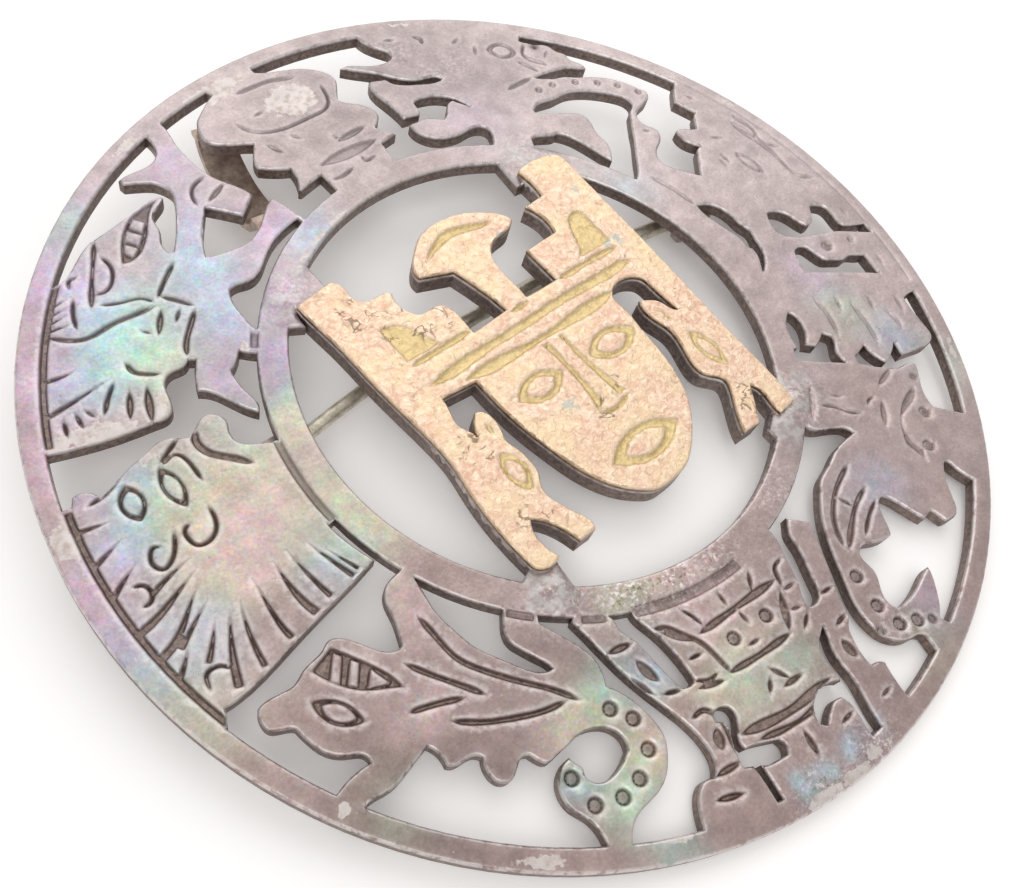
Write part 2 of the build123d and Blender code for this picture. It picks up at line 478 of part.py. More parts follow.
# Almond eyes. Columns: first corner, upper side, second corner, lower side.
figure_eyes = [
    [(32, .87), (34.5, .945), (37, .87), (34.5, .795)],
    [(77, .71), (80, .755), (83.5, .72), (80.5, .665)],
    [(242.3, .715), (245.5, .795), (248.8, .755), (244.8, .68)],
    [(277.7, .75), (279.8, .815), (283, .75), (280.5, .69)],
    [(277, .54), (281, .615), (284, .585), (280, .505)],
]
figure_lenses = [
    [(176.1, .63), (177.1, .685), (176.3, .745), (175.4, .685)],
    [(199.1, .64), (200.3, .69), (199.6, .75), (198.6, .69)],
    [(199.1, .95), (201, .965), (203, .94), (201, .925)],
    [(204.2, .37), (206.7, .32), (207, .24), (204.9, .29)],
]

# Sunk panels with the raised pieces left standing in them
sunk_panels = {
    "lower right beast's brow": (
        [(128.5, .74), (130, .68), (132.3, .63), (139.5, .63), (141.5, .75), (139.6, .735),
         (138.4, .66), (133, .665), (131.2, .72)], []),
    "feline's jaws": (
        [(239.7, .51), (242, .555), (244, .6), (245, .615), (248, .64), (250.7, .645), (250.5, .5),
         (248, .485), (245, .475), (242, .48)],
        [[(241.9, .52), (243.8, .575), (244.5, .505)], [(245.2, .595), (246.1, .605), (247.3, .51),
                                                       (246.4, .505)],
         [(247.2, .62), (248.1, .63), (249.6, .525), (248.7, .52)]]),
    "profile head's wing": (
        [(315.8, .75), (317.5, .775), (320.5, .81), (324, .815), (326, .79), (328.3, .74),
         (325.5, .737), (322, .69), (319.5, .675), (317, .695)],
        [[(317.6, .71), (317.8, .755), (319, .77), (318.9, .705)],
         [(319.8, .71), (319.9, .78), (321.2, .79), (321.2, .715)],
         [(322, .725), (322.1, .79), (323.4, .795), (323.4, .735)]]),
}

# Engraving of the gold sheet, in mask units
mask_panels = [
    [(-2.15, 7.3), (-1.3, 8), (-.2, 8.5), (.8, 8.45), (1.8, 8.15), (2.8, 7.75), (1.5, 7.75),
     (.5, 7.95), (-.5, 7.85), (-1.2, 7.65)],
    [(-6.75, 1.25), (-6, 1.5), (-3, 1.75), (0, 1.85), (3, 2), (6.5, 2.05), (7.3, 2), (7.75, 1.65),
     (7.2, 1.5), (3, 1.45), (0, 1.3), (-3, 1.2), (-6, 1.05)],
    [(-6.85, 5.2), (-5.7, 4.8), (-5.4, 4.4), (-4.65, 2.95), (-6.75, 2.95)],
    [(7.2, 6), (7.75, 5.8), (7.75, 3.3), (5.3, 3.3), (6.1, 4.6), (6.9, 5.9)],
    [(-.3, .05), (.15, .05), (.2, -2.5), (.2, -4.2), (-.45, -4.6), (-.15, -2.5)],
    [(.85, .05), (1.1, .05), (1.25, -2), (1.65, -4.3), (1.15, -4.4), (.95, -2.4)],
]
mask_eyes = [
    [(-3.55, -1.8), (-2, -.95), (-.4, -1.65), (-2, -2.6)],
    [(1.4, -1.8), (2.8, -.9), (4.8, -1.75), (3, -2.65)],
    [(-1.95, -7.1), (.4, -6.15), (2.75, -7.1), (.4, -8.1)],
    [(-6.2, -3.45), (-5.5, -4.75), (-6.2, -5.9), (-6.75, -4.6)],
    [(7.25, -3.55), (8, -4.85), (7.6, -6.3), (6.85, -4.95)],
]
mask_cuts = [
    (plain_cut, [(-6.75, 2.62), (-5, 2.68), (-2.8, 2.75)]),
    (plain_cut, [(-.35, 2.5), (.3, 2.55), (1, 2.55)]),
    (plain_cut, [(3.3, 2.8), (5.5, 2.85), (7.8, 2.85)]),
    (plain_cut, [(-5, .55), (0, .42), (5.6, .62)]),
    (fine_cut, [(-5.75, -1.8), (-5.75, -2.6)]),
    (fine_cut, [(6.9, -1.8), (6.9, -2.6)]),
    (fine_cut, [(-.45, -4.7), (.5, -4.85), (1.65, -4.6)]),
]


def band_point(bearing, reach):
    """Place of a point of the band of figures in the brooch's plane."""
    share = (reach - reach_at_inner_ring) / (reach_at_outer_ring - reach_at_inner_ring)
    radius = band_inner_radius + (band_outer_radius - band_inner_radius) * share
    return radius * sin(radians(bearing)), radius * cos(radians(bearing))


def band_points(rows):
    return [band_point(*row) for row in rows]


def mask_points(rows):
    return [(x * mask_unit, y * mask_unit) for x, y in rows]


def turn_at(before, at, after):
    """Angle by which a path turns at a point, in degrees."""
    arriving = atan2(at[1] - before[1], at[0] - before[0])
    leaving = atan2(after[1] - at[1], after[0] - at[0])
    return abs((degrees(leaving - arriving) + 180) % 360 - 180)


def closed_outline(points):
    """Closed outline with a corner at each sharp turn and one curve between two corners."""
    count = len(points)
    corners = [i for i in range(count)
               if turn_at(points[i - 1], points[i], points[(i + 1) % count]) > sharp_turn]
    for first, last in zip(corners, corners[1:] + [corners[0] + count]):
        run = [points[i % count] for i in range(first, last + 1)]
        if len(run) == 2:
            Line(*run)
        else:
            Spline(*run)


def outline_face(points):
    """Face inside a closed outline."""
    with BuildLine() as outline:
        closed_outline(points)
    make_face(outline.edges())


def almond(points, share=1.0):
    """Pointed oval through four points, or a smaller one inside it."""
    middle_x = sum(x for x, y in points) / len(points)
    middle_y = sum(y for x, y in points) / len(points)
    first, upper, second, lower = [
        (middle_x + (x - middle_x) * share, middle_y + (y - middle_y) * share) for x, y in points]
    with BuildLine() as outline:
        ThreePointArc(first, upper, second)
        ThreePointArc(second, lower, first)
    make_face(outline.edges())


def point_between(start, end, distance):
    """Point on a straight run at a distance from its start, or short of its middle."""
    share = min(.45, distance / hypot(end[0] - start[0], end[1] - start[1]))
    return start[0] + (end[0] - start[0]) * share, start[1] + (end[1] - start[1]) * share


def cut_sides(points, halves):
    """Points to the left and right of each inner point of a path, half a width away."""
    left = []
    right = []
    for before, at, after, half in zip(points, points[1:], points[2:], halves):
        along_x = after[0] - before[0]
        along_y = after[1] - before[1]
        shift = half / hypot(along_x, along_y)
        left.append((at[0] - along_y * shift, at[1] + along_x * shift))
        right.append((at[0] + along_y * shift, at[1] - along_x * shift))
    return left, right


def graver_cut(points, width):
    """Cut of even width with a short point at both ends."""
    near_start = point_between(points[0], points[1], width * cut_tip_length)
    near_end = point_between(points[-1], points[-2], width * cut_tip_length)
    inner = points[1:-1]
    path = [points[0], near_start, *inner, near_end, points[-1]]
    halves = [width * cut_tip_width, *[width / 2 for point in inner], width * cut_tip_width]
    left, right = cut_sides(path, halves)
    with BuildLine() as outline:
        Spline(path[0], *left, path[-1])
        Spline(path[-1], *reversed(right), path[0])
    make_face(outline.edges())


def ray_cut(points, width):
    """Cut with a broad start, narrowing to a point at its end."""
    lengths = [hypot(b[0] - a[0], b[1] - a[1]) for a, b in zip(points, points[1:])]
    halves = [width / 2 * (1 - (sum(lengths[:i]) / sum(lengths)) ** ray_taper)
              for i in range(len(points) - 1)]
    beyond = (2 * points[0][0] - points[1][0], 2 * points[0][1] - points[1][1])
    left, right = cut_sides([beyond, *points], halves)
    with BuildLine() as outline:
        Spline(*left, points[-1])
        Spline(points[-1], *reversed(right))
        Line(right[0], left[0])
    make_face(outline.edges())


def ring_channel(start, end, inner_reach, outer_reach):
    """Strip of a ring between two bearings."""
    middle = (start + end) / 2
    with BuildLine() as outline:
        ThreePointArc(*[band_point(b, outer_reach) for b in (start, middle, end)])
        Line(band_point(end, outer_reach), band_point(end, inner_reach))
        ThreePointArc(*[band_point(b, inner_reach) for b in (end, middle, start)])
        Line(band_point(start, inner_reach), band_point(start, outer_reach))
    make_face(outline.edges())


def stem_rise(x):
    """How strongly the stem is bowed, on either side of its middle."""
    if x > stem_middle_x:
        return (hinge_y - stem_middle_y) / (hinge_x - stem_middle_x) ** 2
    return (stem_end_y - stem_middle_y) / (stem_end_x - stem_middle_x) ** 2


def stem_y(x):
    """Height of the stem's middle line in the brooch's plane."""
    return stem_middle_y + stem_rise(x) * (x - stem_middle_x) ** 2


# Hinge, catch and rest of the brooch on a table
catch_y = stem_y(catch_x)
catch_width = 2 * (stem_catch_radius + catch_side_gap + catch_wall)
hinge_width = eye_width + 2 * (ear_gap + ear_thickness)
support_y = min(hinge_y - hinge_width / 2, catch_y - catch_width / 2)
rest_tilt = atan2(fitting_drop, support_y + disc_radius)
lie_sin = sin(rest_tilt)
lie_cos = cos(rest_tilt)
lying = Plane(
    origin=(0, -plate_thickness / 2 * lie_sin, disc_radius * lie_sin + plate_thickness * lie_cos),
    x_dir=(1, 0, 0), z_dir=(0, -lie_sin, lie_cos))


def brooch_plane(x, y, z, x_dir=(1, 0, 0), z_dir=(0, 0, 1)):
    """Plane given in the brooch's own directions, laid down with the brooch."""
    return Plane(lying.location * Location(Plane(origin=(x, y, z), x_dir=x_dir, z_dir=z_dir)))


os.makedirs("parts", exist_ok=True)

# Cast frame: two rings, the figures between them and the mask's silver core
with BuildPart() as pierced_frame:
    with BuildSketch(brooch_plane(0, 0, plate_back)):
        Circle(disc_radius)
        Circle(opening_radius, mode=Mode.SUBTRACT)
    extrude(amount=plate_thickness)
    with BuildSketch(brooch_plane(0, 0, plate_back)):
        for lug in solder_lugs:
            with BuildLine():
                Polyline(*mask_points(lug), close=True)
            make_face()
    extrude(amount=plate_thickness)
    with BuildSketch(brooch_plane(0, 0, plate_back)):
        outline_face(mask_points(mask_outline))
    extrude(amount=plate_thickness + core_rise)
    with BuildSketch(brooch_plane(0, 0, plate_back)):
        for gap in figure_gaps.values():
            outline_face(band_points(gap))
        with BuildSketch(mode=Mode.INTERSECT):
            Circle(band_outer_radius)
            Circle(band_inner_radius, mode=Mode.SUBTRACT)
    extrude(amount=plate_thickness, mode=Mode.SUBTRACT)
    for figure, cuts in figure_cuts.items():
        with BuildSketch(brooch_plane(0, 0, 0)):
            for width, path in cuts:
                graver_cut(band_points(path), width)
            for width, path in figure_rays.get(figure, []):
                ray_cut(band_points(path), width)
        extrude(amount=-cut_depth, mode=Mode.SUBTRACT)
    with BuildSketch(brooch_plane(0, 0, 0)):
        for channel in ring_channels:
            ring_channel(*channel)
        for lens in figure_lenses:
            almond(band_points(lens))
        for bearing, reach, radius in punched_pits:
            with Locations(band_point(bearing, reach)):
                Circle(radius)
        for bearing, reach, radius in ring_dots:
            with Locations(band_point(bearing, reach)):
                Circle(radius)
                Circle(radius * dot_centre_share, mode=Mode.SUBTRACT)
    extrude(amount=-cut_depth, mode=Mode.SUBTRACT)
    with BuildSketch(brooch_plane(0, 0, 0)):
        for eye in figure_eyes:
            almond(band_points(eye))
        for panel, standing in sunk_panels.values():
            outline_face(band_points(panel))
        with BuildSketch(mode=Mode.SUBTRACT):
            for eye in figure_eyes:
                almond(band_points(eye), eye_inner_share)
            for panel, standing in sunk_panels.values():
                for piece in standing:
                    with BuildLine():
                        Polyline(*band_points(piece), close=True)
                    make_face()
    extrude(amount=-cut_depth, mode=Mode.SUBTRACT)
pierced_frame.part.label = "pierced_frame"
export_step(pierced_frame.part, "parts/pierced_frame.step")

# Gold sheet on the mask's core
with BuildPart() as gold_mask:
    with BuildSketch(brooch_plane(0, 0, core_rise)):
        outline_face(mask_points(mask_outline))
    extrude(amount=gold_thickness)
    with BuildSketch(brooch_plane(0, 0, core_rise + gold_thickness)):
        for panel in mask_panels:
            outline_face(mask_points(panel))
        for width, path in mask_cuts:
            graver_cut(mask_points(path), width)
        for eye in mask_eyes:
            almond(mask_points(eye))
        with BuildSketch(mode=Mode.SUBTRACT):
            for eye in mask_eyes:
                almond(mask_points(eye), eye_inner_share)
    extrude(amount=-gold_cut_depth, mode=Mode.SUBTRACT)
gold_mask.part.label = "gold_mask"
export_step(gold_mask.part, "parts/gold_mask.step")

# Hinge of the pin: base, two ears and the rivet through them
ear_radius = fitting_drop - axis_drop
with BuildPart() as pin_hinge:
    with BuildSketch(brooch_plane(hinge_x, hinge_y, plate_back)):
        RectangleRounded(hinge_base_length, hinge_width + 2 * hinge_base_margin, hinge_base_margin)
    extrude(amount=-fitting_base)
    for side in (-1, 1):
        ear_face = hinge_y + side * (eye_width / 2 + ear_gap)
        with BuildSketch(brooch_plane(hinge_x, ear_face, axis_z, z_dir=(0, side, 0))):
            Circle(ear_radius)
            with Locations((0, -side * axis_drop / 2)):
                Rectangle(2 * ear_radius, axis_drop)
        extrude(amount=ear_thickness)
    rivet_length = hinge_width + 2 * rivet_head
    with BuildSketch(brooch_plane(hinge_x, hinge_y - rivet_length / 2, axis_z, z_dir=(0, 1, 0))):
        Circle(rivet_radius)
    extrude(amount=rivet_length)
pin_hinge.part.label = "pin_hinge"
export_step(pin_hinge.part, "parts/pin_hinge.step")

# Bowed wire of the pin, in short runs between round sections, with its eye on the rivet
stem_root_x = hinge_x - eye_radius / 2
stem_catch_x = catch_x - catch_length / 2
stem_run = (stem_catch_x - stem_root_x) / stem_runs
stem_sections = [
    (stem_root_x + i * stem_run,
     stem_root_radius + (stem_catch_radius - stem_root_radius) * i / stem_runs)
    for i in range(stem_runs + 1)]
stem_sections.append((stem_end_x, stem_point_radius))
with BuildPart() as pin_stem:
    for x, radius in stem_sections:
        along = (-1, -2 * stem_rise(x) * (x - stem_middle_x), 0)
        with BuildSketch(brooch_plane(x, stem_y(x), axis_z, x_dir=(0, 0, 1), z_dir=along)):
            Circle(radius)
    loft(ruled=True)
    with BuildSketch(brooch_plane(hinge_x, hinge_y - eye_width / 2, axis_z, z_dir=(0, 1, 0))):
        Circle(eye_radius)
    extrude(amount=eye_width)
    with BuildSketch(brooch_plane(hinge_x, hinge_y - eye_width / 2, axis_z, z_dir=(0, 1, 0))):
        Circle(rivet_radius + eye_clearance)
    extrude(amount=eye_width, mode=Mode.SUBTRACT)
pin_stem.part.label = "pin_stem"
export_step(pin_stem.part, "parts/pin_stem.step")

# Catch: base and two cheeks that hold the stem's end, open away from the back
catch_gap = catch_width - 2 * catch_wall
catch_depth = fitting_drop - fitting_base
with BuildPart() as pin_catch:
    with BuildSketch(brooch_plane(catch_x, catch_y, plate_back)):
        Rectangle(catch_length, catch_width)
    extrude(amount=-fitting_base)
    for side in (-1, 1):
        cheek_face = catch_y + side * catch_gap / 2
        cheek_plane = brooch_plane(catch_x, cheek_face, plate_back - fitting_base, z_dir=(0, side, 0))
        with BuildSketch(cheek_plane):
            with Locations((0, side * catch_depth / 2)):
                RectangleRounded(catch_length, catch_depth, catch_length / 4)
            with Locations((0, side * catch_depth / 4)):
                Rectangle(catch_length, catch_depth / 2)
        extrude(amount=catch_wall)
pin_catch.part.label = "pin_catch"
export_step(pin_catch.part, "parts/pin_catch.step")

# Bail: a bent strip with a flat foot at each end
bail_lower_foot = [disc_radius * share for share in bail_lower_foot_share]
bail_upper_foot = [disc_radius * share for share in bail_upper_foot_share]
bail_run = hypot(bail_upper_foot[0] - bail_lower_foot[0], bail_upper_foot[1] - bail_lower_foot[1])
bail_direction = ((bail_upper_foot[0] - bail_lower_foot[0]) / bail_run,
                  (bail_upper_foot[1] - bail_lower_foot[1]) / bail_run, 0)
bail_side = (bail_direction[1], -bail_direction[0], 0)
bail_middle = ((bail_lower_foot[0] + bail_upper_foot[0]) / 2,
               (bail_lower_foot[1] + bail_upper_foot[1]) / 2)
bail_arch = bail_run / 2 - bail_foot_length + bail_thickness
with BuildPart() as pendant_bail:
    with BuildSketch(brooch_plane(*bail_middle, plate_back, x_dir=bail_direction, z_dir=bail_side)):
        Ellipse(bail_arch, bail_height)
        Ellipse(bail_arch - bail_thickness, bail_height - bail_thickness, mode=Mode.SUBTRACT)
        with Locations((0, -bail_height / 2)):
            Rectangle(bail_run, bail_height, mode=Mode.INTERSECT)
        for side in (-1, 1):
            with Locations((side * (bail_run - bail_foot_length) / 2, -bail_foot_thickness / 2)):
                Rectangle(bail_foot_length, bail_foot_thickness)
    extrude(amount=bail_width / 2, both=True)
pendant_bail.part.label = "pendant_bail"
export_step(pendant_bail.part, "parts/pendant_bail.step")
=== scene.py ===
"""Looks of the round pierced silver brooch: relief, tarnish, gold, floor, light and camera."""
import json
import math
import random

import bmesh
import bpy
import numpy as np
from mathutils import Matrix, Vector, geometry, kdtree, noise
from mathutils.bvhtree import BVHTree


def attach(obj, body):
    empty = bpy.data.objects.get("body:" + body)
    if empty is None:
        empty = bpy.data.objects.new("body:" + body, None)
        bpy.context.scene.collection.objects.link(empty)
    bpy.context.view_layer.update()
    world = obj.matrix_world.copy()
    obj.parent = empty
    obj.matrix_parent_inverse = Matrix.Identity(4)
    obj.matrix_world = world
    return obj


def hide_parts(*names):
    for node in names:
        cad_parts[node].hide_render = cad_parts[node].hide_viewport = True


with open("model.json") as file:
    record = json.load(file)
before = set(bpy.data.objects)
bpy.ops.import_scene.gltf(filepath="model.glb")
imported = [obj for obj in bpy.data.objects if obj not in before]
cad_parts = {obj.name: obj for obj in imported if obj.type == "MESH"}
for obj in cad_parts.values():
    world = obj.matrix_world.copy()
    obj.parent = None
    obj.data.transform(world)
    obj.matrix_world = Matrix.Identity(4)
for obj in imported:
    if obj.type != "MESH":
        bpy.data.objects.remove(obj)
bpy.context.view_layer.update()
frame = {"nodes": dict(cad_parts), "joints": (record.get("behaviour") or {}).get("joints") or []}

MM = 0.001
random.seed(11)

# Sizes of the brooch in millimetres
plate_thickness = 0.8
core_rise = 0.25
gold_thickness = 0.35
gold_top = core_rise + gold_thickness
cut_depth = 0.22
gold_cut_depth = 0.14
hinge_place = Vector((14.9, 3.57, -2.0))

# The band of figures: where it starts, how deep it is, and the reaches at its start and across it
band_inner_radius = 14.4
band_depth = 9.57
reach_at_inner_ring = 0.015
reach_of_band = 1.025

# The brooch's own plane: right, up the design and out of its face
pin_axis = Vector(frame["joints"][0]["axis"])
right = Vector((1, 0, 0))
up = -pin_axis
out = right.cross(up)
turn = Matrix((right, up, out)).transposed()
middle = Vector(frame["joints"][0]["pos_m"]) - turn @ (hinge_place * MM)


def place(point):
    """World point of a brooch point."""
    return middle + turn @ (Vector(point) * MM)


def band_spot(bearing, reach):
    """Brooch x and y of a bearing clockwise from the top and a reach across the figures."""
    radius = band_inner_radius + band_depth * (reach - reach_at_inner_ring) / reach_of_band
    angle = math.radians(bearing)
    return radius * math.sin(angle), radius * math.cos(angle)


def bearings(spots):
    """Bearings of the spots, in degrees clockwise from the top."""
    return np.degrees(np.arctan2(spots[:, 0], spots[:, 1])) % 360


def away(spots, x, y):
    """Distances of the spots from one place."""
    return np.hypot(spots[:, 0] - x, spots[:, 1] - y)


def fall(distance, width):
    """1 at no distance, falling softly to 0 past a few widths."""
    return np.exp(-((distance / width) ** 2))


def wave(spots, size, offset=0.0):
    """Soft noise from -1 to 1 over the spots."""
    return np.array([noise.noise((x / size, y / size, offset)) for x, y in spots])


def strongest(spots, places):
    """The strongest of the places at each spot. Each place: x, y, size, amount."""
    most = np.zeros(len(spots))
    for x, y, size, amount in places:
        most = np.maximum(most, amount * fall(away(spots, x, y), size))
    return most


# Outlines read from the solids

facing_front = 1
facing_back = -1
# How near a face's height its corners lie, and how squarely it faces the front or the back
level_tolerance = 0.004
square_facing = 0.99
# Decimals to which two corners count as one place
place_decimals = 3
# Outline points nearer than this are one, and a sharper bend than this is a corner
closest_points = 0.02
corner_bend = math.radians(28)
# Keeps a length of nothing from dividing
tiny = 1e-12


def brooch_points(mesh):
    """A mesh's vertices in the brooch's own plane."""
    flat = np.zeros(len(mesh.vertices) * 3)
    mesh.vertices.foreach_get("co", flat)
    return (flat.reshape(-1, 3) - np.array(middle)) @ np.array(turn) / MM


def flat_face(node, height, facing):
    """Points and triangles of a node's flat faces at one height, seen from the front."""
    mesh = frame["nodes"][node].data
    points = brooch_points(mesh)
    triangles = np.array([polygon.vertices[:] for polygon in mesh.polygons])
    a, b, c = (points[triangles[:, i]] for i in range(3))
    normal = np.cross(b - a, c - a)
    normal /= np.linalg.norm(normal, axis=1, keepdims=True) + tiny
    level = np.abs(points[triangles][:, :, 2] - height).max(axis=1)
    chosen = triangles[(level < level_tolerance) & (normal[:, 2] * facing > square_facing)]
    if facing == facing_back:
        chosen = chosen[:, ::-1]
    numbers = {}
    places = [tuple(np.round(point, place_decimals)) for point in points[:, :2]]
    number = np.array([numbers.setdefault(spot, len(numbers)) for spot in places])
    return np.array(list(numbers)), number[chosen]


def one_sided(triangles):
    """Directed edges that only one triangle has, in order."""
    edges = {(t[i], t[(i + 1) % 3]) for t in triangles for i in range(3)}
    return [(start, end) for start, end in sorted(edges) if (end, start) not in edges]


def border_loops(points, triangles):
    """Closed border loops with the metal on their left."""
    following = {}
    for start, end in one_sided(triangles):
        following.setdefault(start, []).append(end)
    loops = []
    while following:
        start = next(iter(following))
        loop = [start]
        while True:
            ends = following[loop[-1]]
            end = ends.pop()
            if not ends:
                del following[loop[-1]]
            if end == start:
                break
            loop.append(end)
        if len(loop) > 2:
            loops.append(points[loop])
    return loops


def even_loop(loop, step):
    """The loop with even points no further apart than step, its sharp corners kept."""
    kept = [loop[0]]
    for point in loop[1:]:
        if math.dist(point, kept[-1]) > closest_points:
            kept.append(point)
    if len(kept) > 3 and math.dist(kept[0], kept[-1]) <= closest_points:
        kept.pop()
    kept = np.array(kept)
    ahead = np.roll(kept, -1, axis=0) - kept
    back = kept - np.roll(kept, 1, axis=0)
    bend = np.arctan2(back[:, 0] * ahead[:, 1] - back[:, 1] * ahead[:, 0], (back * ahead).sum(axis=1))
    corners = np.flatnonzero(np.abs(bend) > corner_bend)
    if len(corners) == 0:
        corners = np.array([0])
    even = []
    for corner, following in zip(corners, np.append(corners[1:], corners[0] + len(kept))):
        run = kept[np.arange(corner, following + 1) % len(kept)]
        along = np.concatenate([[0], np.cumsum(np.linalg.norm(np.diff(run, axis=0), axis=1))])
        count = max(1, math.ceil(along[-1] / step))
        spots = np.linspace(0, along[-1], count + 1)[:-1]
        even.append(np.column_stack([np.interp(spots, along, run[:, i]) for i in range(2)]))
    return np.concatenate(even)


def distance_tree(loops, parts=4):
    """Nearest-point tree over the loops, each side in so many parts."""
    spots = []
    for loop in loops:
        following = np.roll(loop, -1, axis=0)
        spots += [loop + (following - loop) * part / parts for part in range(parts)]
    spots = np.concatenate(spots)
    tree = kdtree.KDTree(len(spots))
    for number, (x, y) in enumerate(spots):
        tree.insert((x, y, 0), number)
    tree.balance()
    return tree


class Region:
    """A flat face seen from the front: its outlines, what lies inside, and how far off they are."""

    def __init__(self, node, height, facing, step):
        points, triangles = flat_face(node, height, facing)
        self.loops = [even_loop(loop, step) for loop in border_loops(points, triangles)]
        self.loops = [loop for loop in self.loops if len(loop) > 2]
        self.tree = BVHTree.FromPolygons([(x, y, 0) for x, y in points], triangles.tolist())
        self.near = distance_tree(self.loops)

    def holds(self, spots):
        """Whether each spot lies on the face."""
        down = Vector((0, 0, -1))
        return np.array([self.tree.ray_cast(Vector((x, y, 1)), down)[0] is not None for x, y in spots])

    def distances(self, spots):
        """How far each spot lies from the outlines."""
        return np.array([self.near.find((x, y, 0))[2] for x, y in spots])

    def row(self, distance, clearance):
        """Points beside the outlines, to their left for a positive distance.

        Each keeps at least a share of that distance, the clearance, from every outline."""
        rows = []
        for loop in self.loops:
            ahead = np.roll(loop, -1, axis=0) - np.roll(loop, 1, axis=0)
            ahead /= np.linalg.norm(ahead, axis=1, keepdims=True) + tiny
            rows.append(loop + distance * np.column_stack([-ahead[:, 1], ahead[:, 0]]))
        spots = np.concatenate(rows)
        return spots[self.distances(spots) > clearance * abs(distance)]


# The points that a worked face is made of

# Rows of points beside the metal's edges, beside the cuts and beside a step
edge_rows = (0.03, 0.08, 0.15)
cut_rows = (-0.1, -0.045, 0.04, 0.085, 0.13)
step_row = 0.02
step_rows = (-step_row, step_row)
row_clearance = 0.85
smallest_gap = 0.03
# Height of a row of the open grid and scatter of its points, as shares of its step
grid_row = 0.87
grid_scatter = 0.2
# Clearance of the open grid from the cuts, as a share of its step
cut_clearance = 0.4
# Points nearer than this are merged, on the front and on the back
front_merging = 1e-5
back_merging = 1e-6
# A triangle with less than half this area is left out
smallest_doubled_area = 1e-9


def grid(low, high, step):
    """Staggered grid of points with a little scatter."""
    spots = []
    rows = math.ceil((high[1] - low[1]) / (step * grid_row))
    columns = math.ceil((high[0] - low[0]) / step)
    for row in range(rows):
        for column in range(columns):
            x = low[0] + step * (column + 0.5 * (row % 2) + random.uniform(-grid_scatter, grid_scatter))
            y = low[1] + step * (grid_row * row + random.uniform(-grid_scatter, grid_scatter))
            spots.append((x, y))
    return np.array(spots)


def cell_of(spot):
    """The cell of a fine net of squares that a spot lies in."""
    return math.floor(spot[0] / smallest_gap), math.floor(spot[1] / smallest_gap)


def thinned(spots, fixed):
    """The spots without those that lie too near a fixed point or another spot."""
    taken = {}
    for point in fixed:
        taken.setdefault(cell_of(point), []).append(point)
    kept = []
    for spot in spots:
        column, row = cell_of(spot)
        near = [
            other
            for i in (-1, 0, 1)
            for j in (-1, 0, 1)
            for other in taken.get((column + i, row + j), ())
        ]
        squares = ((spot[0] - other[0]) ** 2 + (spot[1] - other[1]) ** 2 for other in near)
        if all(square > smallest_gap * smallest_gap for square in squares):
            taken.setdefault((column, row), []).append(spot)
            kept.append(spot)
    return np.array(kept).reshape(-1, 2)


def loose_points(metal, cuts, raised, corners, open_step):
    """Points inside a face: rows beside its outlines, and a scattered grid between them."""
    loose = [metal.row(row, row_clearance) for row in edge_rows]
    for row in cut_rows:
        spots = cuts.row(row, row_clearance)
        loose.append(spots[metal.distances(spots) > smallest_gap])
    if raised:
        for row in step_rows:
            spots = raised.row(row, 0)
            loose.append(spots[metal.distances(spots) > 2 * smallest_gap])
    spread = grid(corners.min(axis=0), corners.max(axis=0), open_step)
    clear = metal.distances(spread) > 0.5 * open_step + 0.5 * edge_rows[-1]
    clear &= cuts.distances(spread) > cut_clearance * open_step
    loose = np.concatenate([*loose, spread[clear]])
    return loose[metal.holds(loose)]


def triangulated(metal, cuts, raised, open_step):
    """Spots and triangles over a face, close together near its edges, cuts and steps."""
    fixed = []
    sides = []
    for loop in metal.loops + cuts.loops:
        first = len(fixed)
        fixed += [tuple(point) for point in loop]
        sides += [(first + i, first + (i + 1) % len(loop)) for i in range(len(loop))]
    loose = thinned(loose_points(metal, cuts, raised, np.array(fixed), open_step), fixed)
    points = [Vector(point) for point in [*fixed, *loose]]
    found = geometry.delaunay_2d_cdt(points, sides, [], 0, front_merging)
    spots = np.array([tuple(point) for point in found[0]])
    triangles = np.array([list(face) for face in found[2]])
    triangles = triangles[metal.holds(spots[triangles].mean(axis=1))]
    a, b, c = (spots[triangles[:, i]] for i in range(3))
    doubled = (b[:, 0] - a[:, 0]) * (c[:, 1] - a[:, 1]) - (b[:, 1] - a[:, 1]) * (c[:, 0] - a[:, 0])
    triangles = np.where((doubled < 0)[:, None], triangles[:, ::-1], triangles)
    triangles = triangles[np.abs(doubled) > smallest_doubled_area]
    used, numbers = np.unique(triangles, return_inverse=True)
    return spots[used], numbers.reshape(-1, 3)


# The heights of a worked face, and the marks that the materials read

# Nearer to the core's outline than this share of its rows, the metal is lifted with the core
lifted_reach = 0.6
# From a cut's outline to its full depth
groove_slope = 0.14
cut_margin = 0.01
lip_depth = 0.035
lip_width = 0.07
# Share of its depth that a cut keeps where it is worn most
worn_cut_share = 0.35
# A dot is a cut no wider than this from its middle, and is sunk by a share of the depth there
dot_radius = 0.2
dot_spread = 1.6
dot_share = 0.5
# How strong the groove mark is at a groove's outline, in a dot and along an edge; on the silver it is
# painted shade there, and in a dot also dirt
outline_groove_mark = 0.3
outline_groove_width = 0.04
dot_groove_mark = 0.85
edge_groove_width = 0.03
# Rubbed metal, lightened as a painted highlight: how far it lies from an edge or a cut, how wide it is,
# and how strong at a cut
worn_highlight_from_edge = 0.04
worn_highlight_edge_width = 0.08
worn_highlight_from_cut = 0.07
worn_highlight_cut_width = 0.07
worn_highlight_at_cut = 0.7
# The dark line at a cut's outline
line_place = 0.01
line_width = 0.035
# Rows of points down a wall: share of its height, and its groove mark there, which darkens the silver's
# walls with dirt and painted shade
wall_shares = (0.12, 0.5, 1.0)
wall_dirt_and_shade = (0.8, 0.95, 0.7)


def rounded(distance, radius):
    """Drop of a rounded edge, all of the radius at the edge and none beyond it."""
    share = np.clip(distance / radius, 0, 1)
    return radius * (1 - np.sqrt(1 - (1 - share) ** 2))


